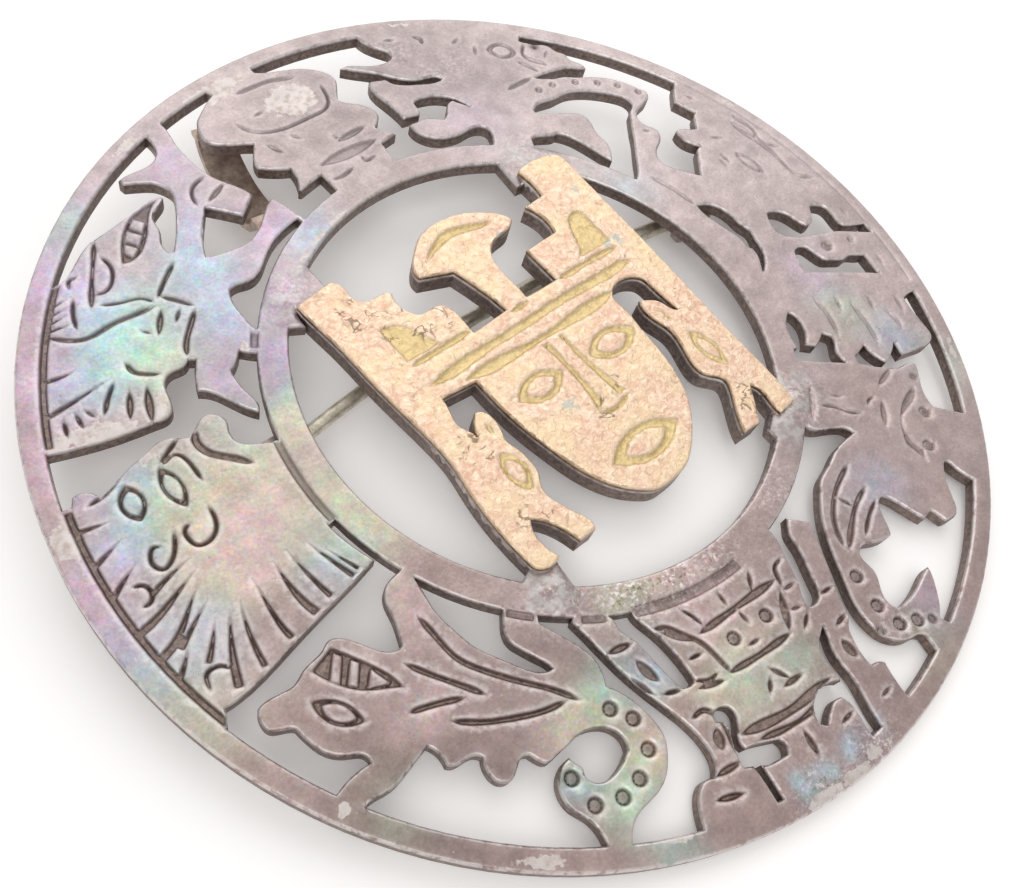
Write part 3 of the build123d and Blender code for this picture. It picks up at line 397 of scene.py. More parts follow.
def worked_front(spots, metal, cuts, raised, shape, clear, top, depth, edge_radius):
    """Heights of the spots of a worked front, and their marks."""
    to_edge = metal.distances(spots)
    to_cut = cuts.distances(spots)
    heights = top - rounded(to_edge, edge_radius)
    lifted = np.zeros(len(spots), bool)
    if raised:
        lifted = raised.holds(spots) | (raised.distances(spots) < lifted_reach * step_row)
        heights += core_rise * lifted
    heights += shape(spots, to_edge, lifted)
    clarity = clear(spots)
    inside = cuts.holds(spots) & (to_cut > cut_margin)
    hollow = 0.5 - 0.5 * np.cos(math.pi * np.clip(to_cut / groove_slope, 0, 1))
    lip = lip_depth * fall(to_cut, lip_width)
    cut = np.where(inside, lip + (depth - lip) * hollow, lip)
    heights -= cut * (worn_cut_share + (1 - worn_cut_share) * clarity)
    # Groove mark: on the silver it paints shade at the outlines and edges, and shade with dirt deeper
    # in the cuts and dots
    beside_cut = outline_groove_mark * fall(to_cut, outline_groove_width)
    groove = np.where(inside, outline_groove_mark + (1 - outline_groove_mark) * hollow, beside_cut) * clarity
    groove = np.maximum(groove, outline_groove_mark * fall(to_edge, edge_groove_width))
    # Rubbed edges and cut lips, which the materials lighten as a painted highlight
    worn_highlight_cut = worn_highlight_at_cut * fall(to_cut - worn_highlight_from_cut, worn_highlight_cut_width) * clarity
    worn_highlight_edge = fall(to_edge - worn_highlight_from_edge, worn_highlight_edge_width)
    for loop in cuts.loops:
        centre = loop.mean(axis=0)
        if np.linalg.norm(loop - centre, axis=1).max() < dot_radius:
            near = fall(away(spots, *centre), dot_spread * dot_radius)
            heights -= dot_share * depth * near
            groove = np.maximum(groove, dot_groove_mark * near)
    marks = {
        "groove": groove,
        "worn_highlight": np.maximum(worn_highlight_edge, np.where(inside, 0, worn_highlight_cut)),
        "line": fall(to_cut - line_place, line_width),
    }
    return heights, marks


def back_triangles(metal, rim_spots, border):
    """Triangles over the back, between the rim's points, as numbers of those points."""
    points = [Vector(spot) for spot in rim_spots]
    found = geometry.delaunay_2d_cdt(points, border, [], 0, back_merging)
    original = [source[0] if source else -1 for source in found[3]]
    faces = [[original[v] for v in face] for face in found[2]]
    faces = [face for face in faces if min(face) >= 0]
    kept = metal.holds(np.array([np.mean([points[v] for v in face], axis=0) for face in faces]))
    return [face[::-1] for face, inside in zip(faces, kept) if inside]


def close_slits(mesh):
    """Fill the hairline slits left between border points that lie on one line."""
    worked = bmesh.new()
    worked.from_mesh(mesh)
    bmesh.ops.holes_fill(worked, edges=[edge for edge in worked.edges if edge.is_boundary], sides=0)
    worked.to_mesh(mesh)
    worked.free()


def relief(name, metal, cuts, raised, shape, clear, *, top, back, depth, open_step, edge_radius):
    """A plate with a worked front, its cuts hollowed as grooves, closed at the back.

    Returns the mesh, the flat place of each vertex and its marks: how deep in a groove,
    how rubbed and lightened by a painted highlight, how near a cut's outline and how far down a wall it
    lies."""
    spots, triangles = triangulated(metal, cuts, raised, open_step)
    heights, marks = worked_front(spots, metal, cuts, raised, shape, clear, top, depth, edge_radius)
    faces = triangles.tolist()
    border = one_sided(faces)
    rim = sorted({start for start, _ in border})
    order = {vertex: i for i, vertex in enumerate(rim)}
    vertices = [(x, y, z) for (x, y), z in zip(spots, heights)]
    above = dict(zip(rim, rim))
    for share in wall_shares:
        first_below = len(vertices)
        below = {vertex: first_below + order[vertex] for vertex in rim}
        vertices += [(spots[v][0], spots[v][1], heights[v] + share * (back - heights[v])) for v in rim]
        faces += [[above[b], above[a], below[a], below[b]] for a, b in border]
        above = below
    rim_border = [(order[a], order[b]) for a, b in border]
    faces += [[first_below + v for v in face] for face in back_triangles(metal, spots[rim], rim_border)]
    mesh = bpy.data.meshes.new(name)
    mesh.from_pydata([place(vertex) for vertex in vertices], [], faces)
    mesh.validate()
    close_slits(mesh)
    walls = np.tile(rim, len(wall_shares))
    on_walls = {"groove": np.repeat(wall_dirt_and_shade, len(rim)), "wall": np.repeat(wall_shares, len(rim))}
    marks["wall"] = np.zeros(len(spots))
    for mark, on_front in marks.items():
        marks[mark] = np.concatenate([on_front, on_walls.get(mark, np.zeros(len(walls)))])
    return mesh, np.concatenate([spots, spots[walls]]), marks


# Silver plate and the mask's core

# Mounds of solder where the mask meets the inner ring. Columns: x, y, size, height
solder_mounds = [
    (-9.2, 9.3, 1.2, .3), (-7.9, 10.6, .7, .2), (7.6, 10.6, 1.2, .26), (9.3, 9.9, .8, .2),
    (-8.2, -10.2, 1.0, .3), (8.2, -10.5, 1.3, .3), (9.8, -9.9, .8, .2),
]

# How clearly the engraving still stands. Columns: bearing, clarity
cut_clarity = [
    (0, .4), (30, .42), (60, .35), (90, .35), (115, .4), (128, .5), (150, .8), (175, .95),
    (195, 1), (240, .95), (260, 1), (295, .9), (320, .8), (340, .45), (360, .4),
]

# Soft noises over a surface. Columns: height, size, offset
plate_waves = [(0.03, 2.4, 0.0), (0.012, 0.7, 3.0)]
gold_waves = [(0.02, 1.1, 5.0), (0.02, 0.4, 8.0)]
# Nearer to an edge than this the noises fade away
plate_calm = 0.3
gold_calm = 0.2
# How rough the mounds are, and the size of their lumps
mound_roughness = 0.4
mound_lump = 0.6
# The gold lies a little lower than its outlines say
gold_wear = 0.012
gold_cut_clarity = 0.9
# Share of its clarity that the engraving loses beside the inner ring, and how far out
ring_clarity_loss = 0.4
ring_clarity_reach = 0.5


def roughened(values, spots, waves):
    """The values with soft noises added, one upon another."""
    for height, size, offset in waves:
        values = values + height * wave(spots, size, offset)
    return values


def plate_shape(spots, to_edge, lifted):
    """Uneven hand-finished surface and its mounds of solder."""
    heights = roughened(0, spots, plate_waves)
    for x, y, size, height in solder_mounds:
        rough = 1 + mound_roughness * wave(spots, mound_lump, x)
        heights += height * rough * fall(away(spots, x, y), size) * ~lifted
    return heights * np.clip(to_edge / plate_calm, 0, 1)


def plate_clarity(spots):
    """How clearly the plate's engraving still stands, less beside the inner ring."""
    clarity = np.interp(bearings(spots), *np.array(cut_clarity).T)
    beside_ring = away(spots, 0, 0) < band_inner_radius + ring_clarity_reach
    return clarity * (1 - ring_clarity_loss * beside_ring)


def gold_shape(spots, to_edge, lifted):
    """Small dents and wrinkles of the gold sheet."""
    return roughened(0, spots, gold_waves) * np.clip(to_edge / gold_calm, 0, 1) - gold_wear


def gold_clarity(spots):
    """How clearly the gold's engraving still stands, everywhere the same."""
    return np.full(len(spots), gold_cut_clarity)


plate = Region("pierced_frame", height=-plate_thickness, facing=facing_back, step=0.15)
cuts = Region("pierced_frame", height=-cut_depth, facing=facing_front, step=0.13)
core = Region("pierced_frame", height=core_rise, facing=facing_front, step=0.15)
gold = Region("gold_mask", height=core_rise, facing=facing_back, step=0.12)
gold_cuts = Region("gold_mask", height=gold_top - gold_cut_depth, facing=facing_front, step=0.11)

silver_mesh, silver_spots, silver_marks = relief(
    "pierced_silver", plate, cuts, core, plate_shape, plate_clarity,
    top=0, back=-plate_thickness, depth=cut_depth, open_step=0.27, edge_radius=0.14,
)
gold_mesh, gold_spots, gold_marks = relief(
    "gold_mask_relief", gold, gold_cuts, None, gold_shape, gold_clarity,
    top=gold_top, back=core_rise, depth=gold_cut_depth, open_step=0.15, edge_radius=0.12,
)


# What is painted on the silver and on the gold

# Colours of the tarnish film as it thickens, each the next one's neighbour
film_colours = np.array([
    (0.50, 0.41, 0.43),
    (0.65, 0.57, 0.45),
    (0.67, 0.46, 0.53),
    (0.56, 0.44, 0.61),
    (0.46, 0.52, 0.67),
    (0.41, 0.64, 0.68),
    (0.49, 0.68, 0.54),
    (0.67, 0.67, 0.47),
    (0.69, 0.52, 0.51),
])
# The plain tarnish, brown toward the lower figures and pale toward the upper right
brown_tarnish = np.array((0.40, 0.30, 0.285))
pale_tarnish = np.array((0.52, 0.44, 0.435))

# How pale it is at the middle, how much the right counts beside the top, and how wide it spreads
pale_at_middle = 0.55
pale_to_the_right = 0.6
pale_spread = 40
pale_waves = [(0.25, 4, 17.0)]

# Where the film shows. Columns: x, y, size, film thickness, strength
film_patches = {
    "outer ring, left": [
        (-18.5, 16.1, 2.4, 2.8, .6), (-21.6, 11.8, 2.4, 2.4, .6), (-23, 7, 2.2, 2.3, .6),
        (-24.6, 1.2, 1.2, 2.3, .6), (-24.6, -.8, 1.4, 3.2, .5), (-24.4, -3, 1.8, 5.0, .35),
        (-23.7, -5.9, 2.0, 6.6, .4), (-21.6, -9.7, 1.8, 8, .3), (-19.8, -13.4, 1.6, 6.5, .3),
        (-15.9, 18.4, 1.8, 6.2, .3), (-13.7, 19.1, 1.6, 3, .4),
    ],
    "outer ring, right": [
        (19.5, -13.4, 1.5, 6, .35), (4.8, -23.2, 1.5, 7, .25), (-11.7, -21.5, 1.2, 5.6, .5),
    ],
    "tree": [
        (-11, 16, 2, 3.7, .6), (-11.8, 13, 2, 4.6, .75), (-7.5, 13.6, 2, 2.6, .6),
        (-12.5, 10.1, 1.8, 4.1, .75), (-9.4, 19.9, 2, 3.1, .5), (-14, 7, 1.2, 3, .6),
    ],
    "profile head": [
        (-17.2, 15.3, 1.6, 3.2, .55), (-17.4, 12.6, 1.6, 4.9, .75), (-16.7, 11.4, 1.6, 5.6, .85),
        (-16.5, 9.4, 1.5, 6.7, .8), (-20.2, 10, 1.5, 4.4, .5), (-15, 12.5, 1.3, 5.8, .6),
        (-18.2, 9.9, 1.5, 5.5, .8),
    ],
    "rayed face": [
        (-20.9, 4.8, 1.4, 4.4, .6), (-20.7, 3, 1.5, 5.7, .5), (-18.8, 3.4, 1.5, 6.6, .6),
        (-19.5, .7, 1.6, 7.3, .6), (-17.2, .6, 2.2, 8, .6), (-16.1, 2.3, 1.6, 6.6, .4),
        (-15.2, 4.2, 1.4, 6, .5), (-15.4, -3.3, 1.6, 4.3, .5), (-22.5, 2.1, 1.3, 3.6, .7),
        (-18.9, -.9, 1.7, 8, .5), (-21.8, -2.5, 1.8, 4.2, .35),
    ],
    "inner ring": [
        (-9.6, 9.8, 1.6, 2.7, .6), (-11.2, 6.9, 1.8, 3.1, .7), (-12.6, 4.3, 1.2, 6, .5),
        (-13.2, 2.9, 1.2, 7.6, .5), (-13.7, -.9, 1.5, 6.7, .6), (-13.2, -2.9, 1.6, 7.3, .6),
        (-5.7, 12, 1.6, 4.8, .6), (11.9, 5.9, 1.6, 4.8, .35), (-3.9, -12.7, 1.1, 7.7, .6),
        (-2.3, -13.1, .9, 8, .6), (-6, -12.3, 1.2, 6.6, .5),
    ],
    "feline": [
        (-16.7, -10.8, 1.1, 8, .9), (-14.3, -6.8, 1.8, 8, .45), (-11, -15.2, 1.2, 6.9, .85),
        (-9.5, -14.9, 1.1, 5.8, .7), (-12.7, -15.3, 1.2, 7.7, .8), (-13.3, -16.9, .9, 5, .9),
        (-11.9, -18.7, 1.3, 6.2, .9), (-8.9, -17.8, 1.1, 7.8, .6), (-10.4, -18.1, 1.2, 6.7, .8),
        (-13.5, -11.5, 2.5, 8, .3),
    ],
    "totem": [
        (-7.3, -15.4, 1.1, 4.6, .7), (-6, -17.9, 1.2, 7.6, .5), (-4.2, -18.4, 1.5, 6.4, .6),
        (-1.4, -19.4, 1.4, 6.2, .5), (-2.1, -16.1, 1.4, 7.8, .45), (-3.7, -15.3, 1.1, 8, .5),
        (-5.2, -23.4, .6, 4.6, .75), (-3.9, -23.6, .6, 4.8, .75), (-2.2, -23.7, .6, 4.5, .7),
        (-.6, -23.7, .6, 4.3, .5),
    ],
    "right side": [
        (9.5, -16, 1.8, 3.9, .4), (6.8, -21.3, 1.5, 3, .3), (17, -7.4, 1.5, 6.3, .35),
        (18.4, -10.5, 1.4, 4.3, .5), (17.5, -4.3, 1.6, 3, .35), (7.1, 14.6, 2.5, 3, .25),
    ],
}

# Metal rubbed bare or left by the solder. Columns: bearing, reach, length, width, bareness
bare_patches = [
    (348.5, 1.0, 1.9, .75, 1.1), (334, 1.08, 1.2, .35, .7), (278.5, 1.08, .9, .5, 1.1),
    (221.5, 1.1, 1.1, .35, .8), (240.7, 1.08, .25, .35, 1), (161, 1.0, 1.2, .35, .8),
    (191.5, 1.12, 1.1, .28, 1.1), (187, 1.12, .9, .25, 1.1), (183.5, 1.1, .6, .22, 1),
    (356.6, .7, 1.5, 1.0, 1.3), (290.3, .8, .6, 1.8, 1), (289.8, .98, .5, .6, 1),
    (291.5, .5, .8, .3, .9), (287, .62, .9, .5, .9), (301, .07, .9, .35, .7),
    (208, 1.03, .9, .4, 1), (282, .72, .6, .4, .6), (147, 1.0, .8, .3, .7),
    (334, -.12, 1.1, .18, 1), (342, -.13, 1.0, .18, .9), (327, -.12, .9, .16, .8),
    (71, 1.1, 1.0, .25, .7), (122, 1.1, 1.2, .25, .7), (20, 1.1, 1.2, .25, .6),
]

# Grey solder spread over the inner ring. Columns: first and last bearing, strength
solder_spreads = [(37, 55, .6), (128, 147, .9), (217, 226, .9), (306, 331, .55)]

# Darker and paler parts. Columns: x, y, size, change
tone_patches = [
    (7, 20.5, 6, -.24), (-1.5, 19.5, 4, -.22), (-13, 17.5, 3, -.1), (-13.5, -12, 5.5, -.2),
    (-19.5, -15.5, 3.5, -.22), (-3.5, -19, 4, .12), (11, -17.5, 4, .16), (21, -8, 5, .14),
    (-21.5, -3, 3, .3), (-12, 6, 2.5, -.14), (2, 13.5, 3, -.08), (11.4, 17.1, 4, -.1),
    (-21.5, -11.3, 3, -.14), (-14.3, -20, 3, .12), (-11.5, -17.2, 2.5, .14), (-6.9, -19.6, 3, .1),
    (-8.8, 9.2, 2, -.08), (19.5, -15.5, 3, .12), (20.6, 0, 4, -.06),
]

# Pitted and speckled metal. Columns: x, y, size, amount
speckled_places = [
    (-8.2, -10.6, 1.6, .7), (-5.6, -12.3, 1.7, 1), (-3.4, -13.0, 1.5, 1), (-.9, -13.5, 1.4, .7),
    (9.4, -9.8, 1.8, .7), (-9.2, 9.6, 1.5, .5), (8.2, 10.9, 1.4, .4), (-4.5, -24.2, 1.6, .8),
    (-1.5, -24.5, 1.5, .8), (4.5, -21.2, 1.4, .5), (-1.2, 21, 1.2, .4), (6.4, 21.6, 1.6, .25),
    (7.2, 18.8, 1.3, .3), (9.3, 19, 1.1, .25), (4.5, -13, 1.6, .5),
]

# Painted shade down a wall and on the back: how the colour darkens. Columns: share of the wall's
# height, tone
wall_shade_tones = [(0, 1), (0.12, 0.62), (0.5, 0.58), (1, 0.8)]

# Noises of the tarnish. Columns: strength, size, offset
thickness_waves = [(0.35, 0.9, 4.0), (0.15, 0.35, 9.0)]
strength_waves = [(0.25, 0.8, 13.0)]
tone_waves = [(0.1, 6, 2.0), (0.06, 1.5, 5.0)]
# Noises that make the film's borders ragged. Columns: size, amount
border_waves = [(1.6, 0.7), (0.5, 0.2)]
# A weight small enough to leave the film's thickness as it is
least_weight = 1e-3
# Share of the film that a groove loses at its full depth
groove_film_loss = 0.7
# Solder: its reach past the inner ring and past its ends, how soon it ends, and its spread at a mound
solder_past_ring = 0.3
solder_past_ends = 1.2
solder_steepness = 3
mound_spread = 1.2


def warped(spots):
    """The places pushed about a little, for ragged borders."""
    for size, amount in border_waves:
        pushes = np.column_stack([wave(spots, size, 7.0), wave(spots, size, 21.0)])
        spots = spots + amount * pushes
    return spots


def film_layer(spots, wall, groove):
    """Colour of the tarnish film at each place, and how strongly it shows."""
    bent = warped(spots)
    total = np.full(len(spots), least_weight)
    film = np.zeros(len(spots))
    clear = np.ones(len(spots))
    for patches in film_patches.values():
        for x, y, size, thickness, strength in patches:
            weight = strength * fall(away(bent, x, y), size)
            total += weight
            film += weight * thickness
            clear *= 1 - weight
    film = roughened(film / total, spots, thickness_waves)
    steps = np.arange(len(film_colours))
    colours = np.column_stack([np.interp(film, steps, film_colours[:, i]) for i in range(3)])
    strength = np.clip((1 - clear) * roughened(1, spots, strength_waves), 0, 1)
    return colours, strength * (1 - wall) * (1 - groove_film_loss * groove)


def plain_tarnish(spots):
    """Colour of the tarnish without a film."""
    drift = (pale_to_the_right * spots[:, 0] + spots[:, 1]) / pale_spread
    pale = np.clip(roughened(pale_at_middle + drift, spots, pale_waves), 0, 1)[:, None]
    return brown_tarnish * (1 - pale) + pale_tarnish * pale


def tones(spots, wall):
    """How light the tarnish is at each place, with painted shade down the walls and on the back."""
    tone = roughened(1, spots, tone_waves)
    for x, y, size, change in tone_patches:
        tone += change * fall(away(spots, x, y), size)
    # Painted shade down the walls and on the back
    return tone * np.interp(wall, *np.array(wall_shade_tones).T)


def bareness(spots):
    """How bare the metal is at each place."""
    bare = np.zeros(len(spots))
    for bearing, reach, length, width, amount in bare_patches:
        x, y = band_spot(bearing, reach)
        angle = math.radians(bearing)
        across = (spots[:, 0] - x) * math.sin(angle) + (spots[:, 1] - y) * math.cos(angle)
        along = (spots[:, 0] - x) * math.cos(angle) - (spots[:, 1] - y) * math.sin(angle)
        bare = np.maximum(bare, amount * fall(np.hypot(along / length, across / width), 1))
    return bare


def soldered(spots):
    """How thickly grey solder lies at each place."""
    on_ring = away(spots, 0, 0) < band_inner_radius + solder_past_ring
    bearing = bearings(spots)
    solder = strongest(spots, [(x, y, mound_spread * size, 1) for x, y, size, _ in solder_mounds])
    for first, last, amount in solder_spreads:
        from_middle = np.abs(bearing - (first + last) / 2) / ((last - first) / 2)
        within = np.clip(solder_past_ends - from_middle, 0, 1)
        solder = np.maximum(solder, amount * np.clip(within * solder_steepness, 0, 1) * on_ring)
    return solder


def tarnish_and_wall_shade(spots, wall, groove):
    """Colour of the silver at each place, with painted shade down the walls and on the back, and how
    bare, soldered, filmed and speckled it is.
    """
    film_colour, film = film_layer(spots, wall, groove)
    share = film[:, None]
    colours = (plain_tarnish(spots) * (1 - share) + film_colour * share) * tones(spots, wall)[:, None]
    bare = bareness(spots) * (1 - wall)
    speckled = strongest(spots, speckled_places) * (1 - wall)
    return colours, bare, soldered(spots), film, speckled


# Green corrosion on the gold. Columns: x, y, size
green_spots = [(8.5, 7.1, .4), (8.2, 3.3, .5), (7.4, 3.2, .4), (-1.5, -3.4, .5), (2.6, 6.9, .3)]

# Torn and dented gold. Columns: x, y, size
torn_places = [
    (-7.3, 6.2, 1.5), (-5.6, 4.8, 1.5), (-4.2, 4.3, 1.2), (-6.9, -2.5, 1.2), (-6.8, -6.6, 1.3),
    (-.2, -4.6, .9), (1.4, -3.9, .7), (6.9, -8.4, 1.2),
]


def near_places(spots, places):
    """1 at the places, falling to 0 around them."""
    return strongest(spots, [(x, y, size, 1) for x, y, size in places])


def paint(mesh, name, *columns):
    """Keep up to three values of each vertex under a name that the materials read."""
    layer = mesh.attributes.new(name, "FLOAT_COLOR", "POINT")
    full = np.ones((len(mesh.vertices), 4), np.float32)
    for i, column in enumerate(columns):
        full[:, i] = column
    layer.data.foreach_set("color", full.ravel())


silver_wall = silver_marks["wall"]
silver_groove = silver_marks["groove"]
silver_colours, silver_bare, *silver_layers = tarnish_and_wall_shade(silver_spots, silver_wall, silver_groove)
gold_green = near_places(gold_spots, green_spots)
gold_torn = near_places(gold_spots, torn_places)
# Tarnish colours, with painted shade down the walls and on the back
paint(silver_mesh, "tarnish_and_wall_shade", *silver_colours.T)
paint(silver_mesh, "marks", silver_groove, silver_marks["worn_highlight"], silver_bare)
paint(silver_mesh, "layers", *silver_layers)
paint(gold_mesh, "marks", gold_marks["groove"], gold_marks["worn_highlight"], gold_marks["line"])
paint(gold_mesh, "wall", gold_marks["wall"], gold_green, gold_torn)


# Materials

# Edges that bend more than this stay sharp, and how wide the worn edge of a fitting is
sharp_edge = math.radians(50)
worn_edge = 0.06


class Surface:
    """A material's nodes, made one after another."""

    def __init__(self, name):
        self.material = bpy.data.materials.new(name)
        self.material.use_nodes = True
        self.tree = self.material.node_tree
        self.tree.nodes.clear()
        output = self.tree.nodes.new("ShaderNodeOutputMaterial")
        self.shader = self.tree.nodes.new("ShaderNodeBsdfPrincipled")
        self.tree.links.new(self.shader.outputs[0], output.inputs[0])
        self.coordinates = self.tree.nodes.new("ShaderNodeTexCoord").outputs["Object"]

    def put(self, socket, value):
        """Link a socket to another one, or set it to a value."""
        if isinstance(value, bpy.types.NodeSocket):
            self.tree.links.new(value, socket)
        else:
            socket.default_value = value

    def attribute(self, name):
        """Values painted on the mesh under a name."""
        made = self.tree.nodes.new("ShaderNodeAttribute")
        made.attribute_name = name
        return made.outputs["Color"]

    def channels(self, colour):
        """The three values of a colour."""
        made = self.tree.nodes.new("ShaderNodeSeparateColor")
        self.put(made.inputs[0], colour)
        return made.outputs

    def noise(self, size, detail=3, rough=0.55, stretch=None, warp=0.0):
        """Noise whose grains are about size millimetres.

        A stretch gives the angle of its streaks and how many times finer it is across them."""
        made = self.tree.nodes.new("ShaderNodeTexNoise")
        vector = self.coordinates
        if stretch:
            mapping = self.tree.nodes.new("ShaderNodeMapping")
            self.put(mapping.inputs["Vector"], vector)
            mapping.inputs["Rotation"].default_value = (0, 0, stretch[0])
            mapping.inputs["Scale"].default_value = (1, stretch[1], 1)
            vector = mapping.outputs[0]
        self.put(made.inputs["Vector"], vector)
        made.inputs["Scale"].default_value = 1 / (size * MM)
        made.inputs["Detail"].default_value = detail
        made.inputs["Roughness"].default_value = rough
        made.inputs["Distortion"].default_value = warp
        return made.outputs["Fac"]

    def spots(self, size, share, reach):
        """Scattered round spots, 1 at their middle."""
        made = self.tree.nodes.new("ShaderNodeTexVoronoi")
        self.put(made.inputs["Vector"], self.coordinates)
        made.inputs["Scale"].default_value = 1 / (size * MM)
        near = self.ramp(made.outputs["Distance"], 0, reach, 1, 0)
        chosen = self.channels(made.outputs["Color"])[0]
        return self.times(near, self.maths("LESS_THAN", chosen, share))

    def maths(self, kind, a, b=0.0):
        """One step of arithmetic on two values."""
        made = self.tree.nodes.new("ShaderNodeMath")
        made.operation = kind
        self.put(made.inputs[0], a)
        self.put(made.inputs[1], b)
        return made.outputs[0]

    def times(self, a, b):
        """Product of two values."""
        return self.maths("MULTIPLY", a, b)

    def ramp(self, value, low, high, start=0.0, end=1.0):
        """Smooth step of a value from start to end between low and high."""
        made = self.tree.nodes.new("ShaderNodeMapRange")
        made.interpolation_type = "SMOOTHSTEP"
        self.put(made.inputs["Value"], value)
        for name, number in (("From Min", low), ("From Max", high), ("To Min", start), ("To Max", end)):
            made.inputs[name].default_value = number
        return made.outputs["Result"]

    def mix(self, factor, a, b, kind="MIX"):
        """Two colours mixed, the second the stronger the nearer the factor is to 1."""
        made = self.tree.nodes.new("ShaderNodeMix")
        made.data_type = "RGBA"
        made.blend_type = kind
        self.put(made.inputs[0], factor)
        for number, colour in ((6, a), (7, b)):
            self.put(made.inputs[number], (*colour, 1) if isinstance(colour, tuple) else colour)
        return made.outputs[2]

    def laid(self, colour, other, amount, strength):
        """Another colour laid over a colour by an amount times a strength."""
        return self.mix(self.times(amount, strength), colour, other)

    def tinted(self, colour, tint):
        """A colour multiplied by a tint."""
        return self.mix(1.0, colour, tint, "MULTIPLY")

    def mottled(self, colour, noise, darkest, palest=1.12):
        """A colour made uneven by a noise, from darkest to palest."""
        return self.tinted(colour, self.grey(self.ramp(noise, 0.25, 0.75, darkest, palest)))

    def grey(self, value):
        """A grey as light as a value."""
        made = self.tree.nodes.new("ShaderNodeCombineColor")
        for i in range(3):
            self.put(made.inputs[i], value)
        return made.outputs[0]

    def bump(self, height, depth, before=None):
        """Bumps of a depth in millimetres, upon those made before."""
        made = self.tree.nodes.new("ShaderNodeBump")
        made.inputs["Strength"].default_value = 1.0
        made.inputs["Distance"].default_value = depth * MM
        self.put(made.inputs["Height"], height)
        if before:
            self.put(made.inputs["Normal"], before)
        return made.outputs["Normal"]

    def finished(self, colour, metallic, rough, normal):
        """The material with its colour, metal, roughness and bumps set on the shader."""
        self.put(self.shader.inputs["Base Color"], colour)
        self.shader.inputs["Metallic"].default_value = metallic
        self.put(self.shader.inputs["Roughness"], rough)
        self.put(self.shader.inputs["Normal"], normal)
        return self.material


# Tints of the film, which change from grain to grain
rosy_tint = (1.15, 0.88, 1.08)
green_tint = (0.86, 1.13, 1.05)
yellow_tint = (1.16, 1.1, 0.82)
blue_tint = (0.92, 0.96, 1.18)
film_shimmer = 0.65

# Colours of the silver's specks, pits, solder, bare metal, painted highlight of rubbed edges and dirt,
# each from one to another
rosy_speck = (0.82, 0.62, 0.70)
pale_speck = (0.90, 0.88, 0.80)
dark_speck = (0.24, 0.18, 0.16)
silver_pit = (0.20, 0.15, 0.13)
bright_speck = (0.82, 0.78, 0.76)
dark_solder = (0.40, 0.38, 0.375)
pale_solder = (0.62, 0.60, 0.585)
bare_silver = (0.71, 0.655, 0.63)
tanned_silver = (0.55, 0.47, 0.42)
worn_highlight_silver = (0.88, 0.84, 0.82)
black_dirt = (0.16, 0.12, 0.105)
brown_dirt = (0.40, 0.31, 0.265)

# Colours of the gold's sheet, painted sparkle highlight, stains, pits, grooves, outlines, painted
# highlight of rubbed edges, walls, corrosion and cracks
deep_gold = (0.78, 0.50, 0.36)
light_gold = (0.97, 0.76, 0.59)
straw_gold = (0.92, 0.73, 0.47)
gold_sparkle_highlight = (1.0, 0.87, 0.72)
stained_gold = (0.50, 0.35, 0.25)
gold_pit = (0.40, 0.28, 0.20)
dark_groove = (0.62, 0.47, 0.20)
light_groove = (0.86, 0.69, 0.36)
gold_outline = (0.36, 0.27, 0.19)
worn_highlight_gold = (0.98, 0.82, 0.64)
black_wall = (0.14, 0.095, 0.07)
brown_wall = (0.42, 0.27, 0.17)
green_crust = (0.52, 0.58, 0.54)
gold_crack = (0.24, 0.17, 0.12)


def shimmering(s, colour, film, share, first, second):
    """A colour with two tints in turn, by a share, where the film lies."""
    return s.laid(colour, s.tinted(colour, s.mix(share, first, second)), film, film_shimmer)


def speckled_silver(s, colour, speckled, fine, grains):
    """Rosy, dark and bright specks and dark pits over a colour."""
    rosy = s.mix(s.ramp(fine, 0.4, 0.6), rosy_speck, pale_speck)
    colour = s.laid(colour, rosy, speckled, s.ramp(grains, 0.52, 0.6))
    colour = s.laid(colour, dark_speck, speckled, s.ramp(grains, 0.42, 0.36))
    colour = s.laid(colour, silver_pit, s.spots(0.55, 0.3, 0.16), 0.5)
    return s.laid(colour, bright_speck, s.spots(0.42, 0.2, 0.13), 0.6)


def soldered_silver(s, colour, solder, broad, fine):
    """Grey solder smeared over a colour."""
    grey = s.mix(s.ramp(fine, 0.35, 0.65), dark_solder, pale_solder)
    return s.laid(colour, grey, s.times(solder, s.ramp(broad, 0.38, 0.58)), 0.8)


def bared_and_highlit(s, colour, stripped, worn_highlight, fine):
    """Bare metal, and rubbed edges lightened as a painted highlight, over a colour."""
    tan = s.mix(s.ramp(fine, 0.42, 0.7), bare_silver, tanned_silver)
    colour = s.laid(colour, tan, stripped, 0.85)
    return s.laid(colour, worn_highlight_silver, s.times(worn_highlight, s.ramp(fine, 0.34, 0.55)), 0.65)


def shaded_dirty_grooves(s, colour, groove, broad, grains):
    """A colour darkened in the grooves and on the walls as painted shade, with dirt at their bottom."""
    # Painted shade: the colour darkened deeper in a groove, at its outline and down a wall
    colour = s.tinted(colour, s.grey(s.ramp(groove, 0.1, 0.75, 1, 0.58)))
    dirt = s.mix(s.ramp(grains, 0.3, 0.7), black_dirt, brown_dirt)
    return s.laid(colour, dirt, s.ramp(groove, 0.55, 0.95), s.ramp(broad, 0.3, 0.6, 0.45, 0.9))


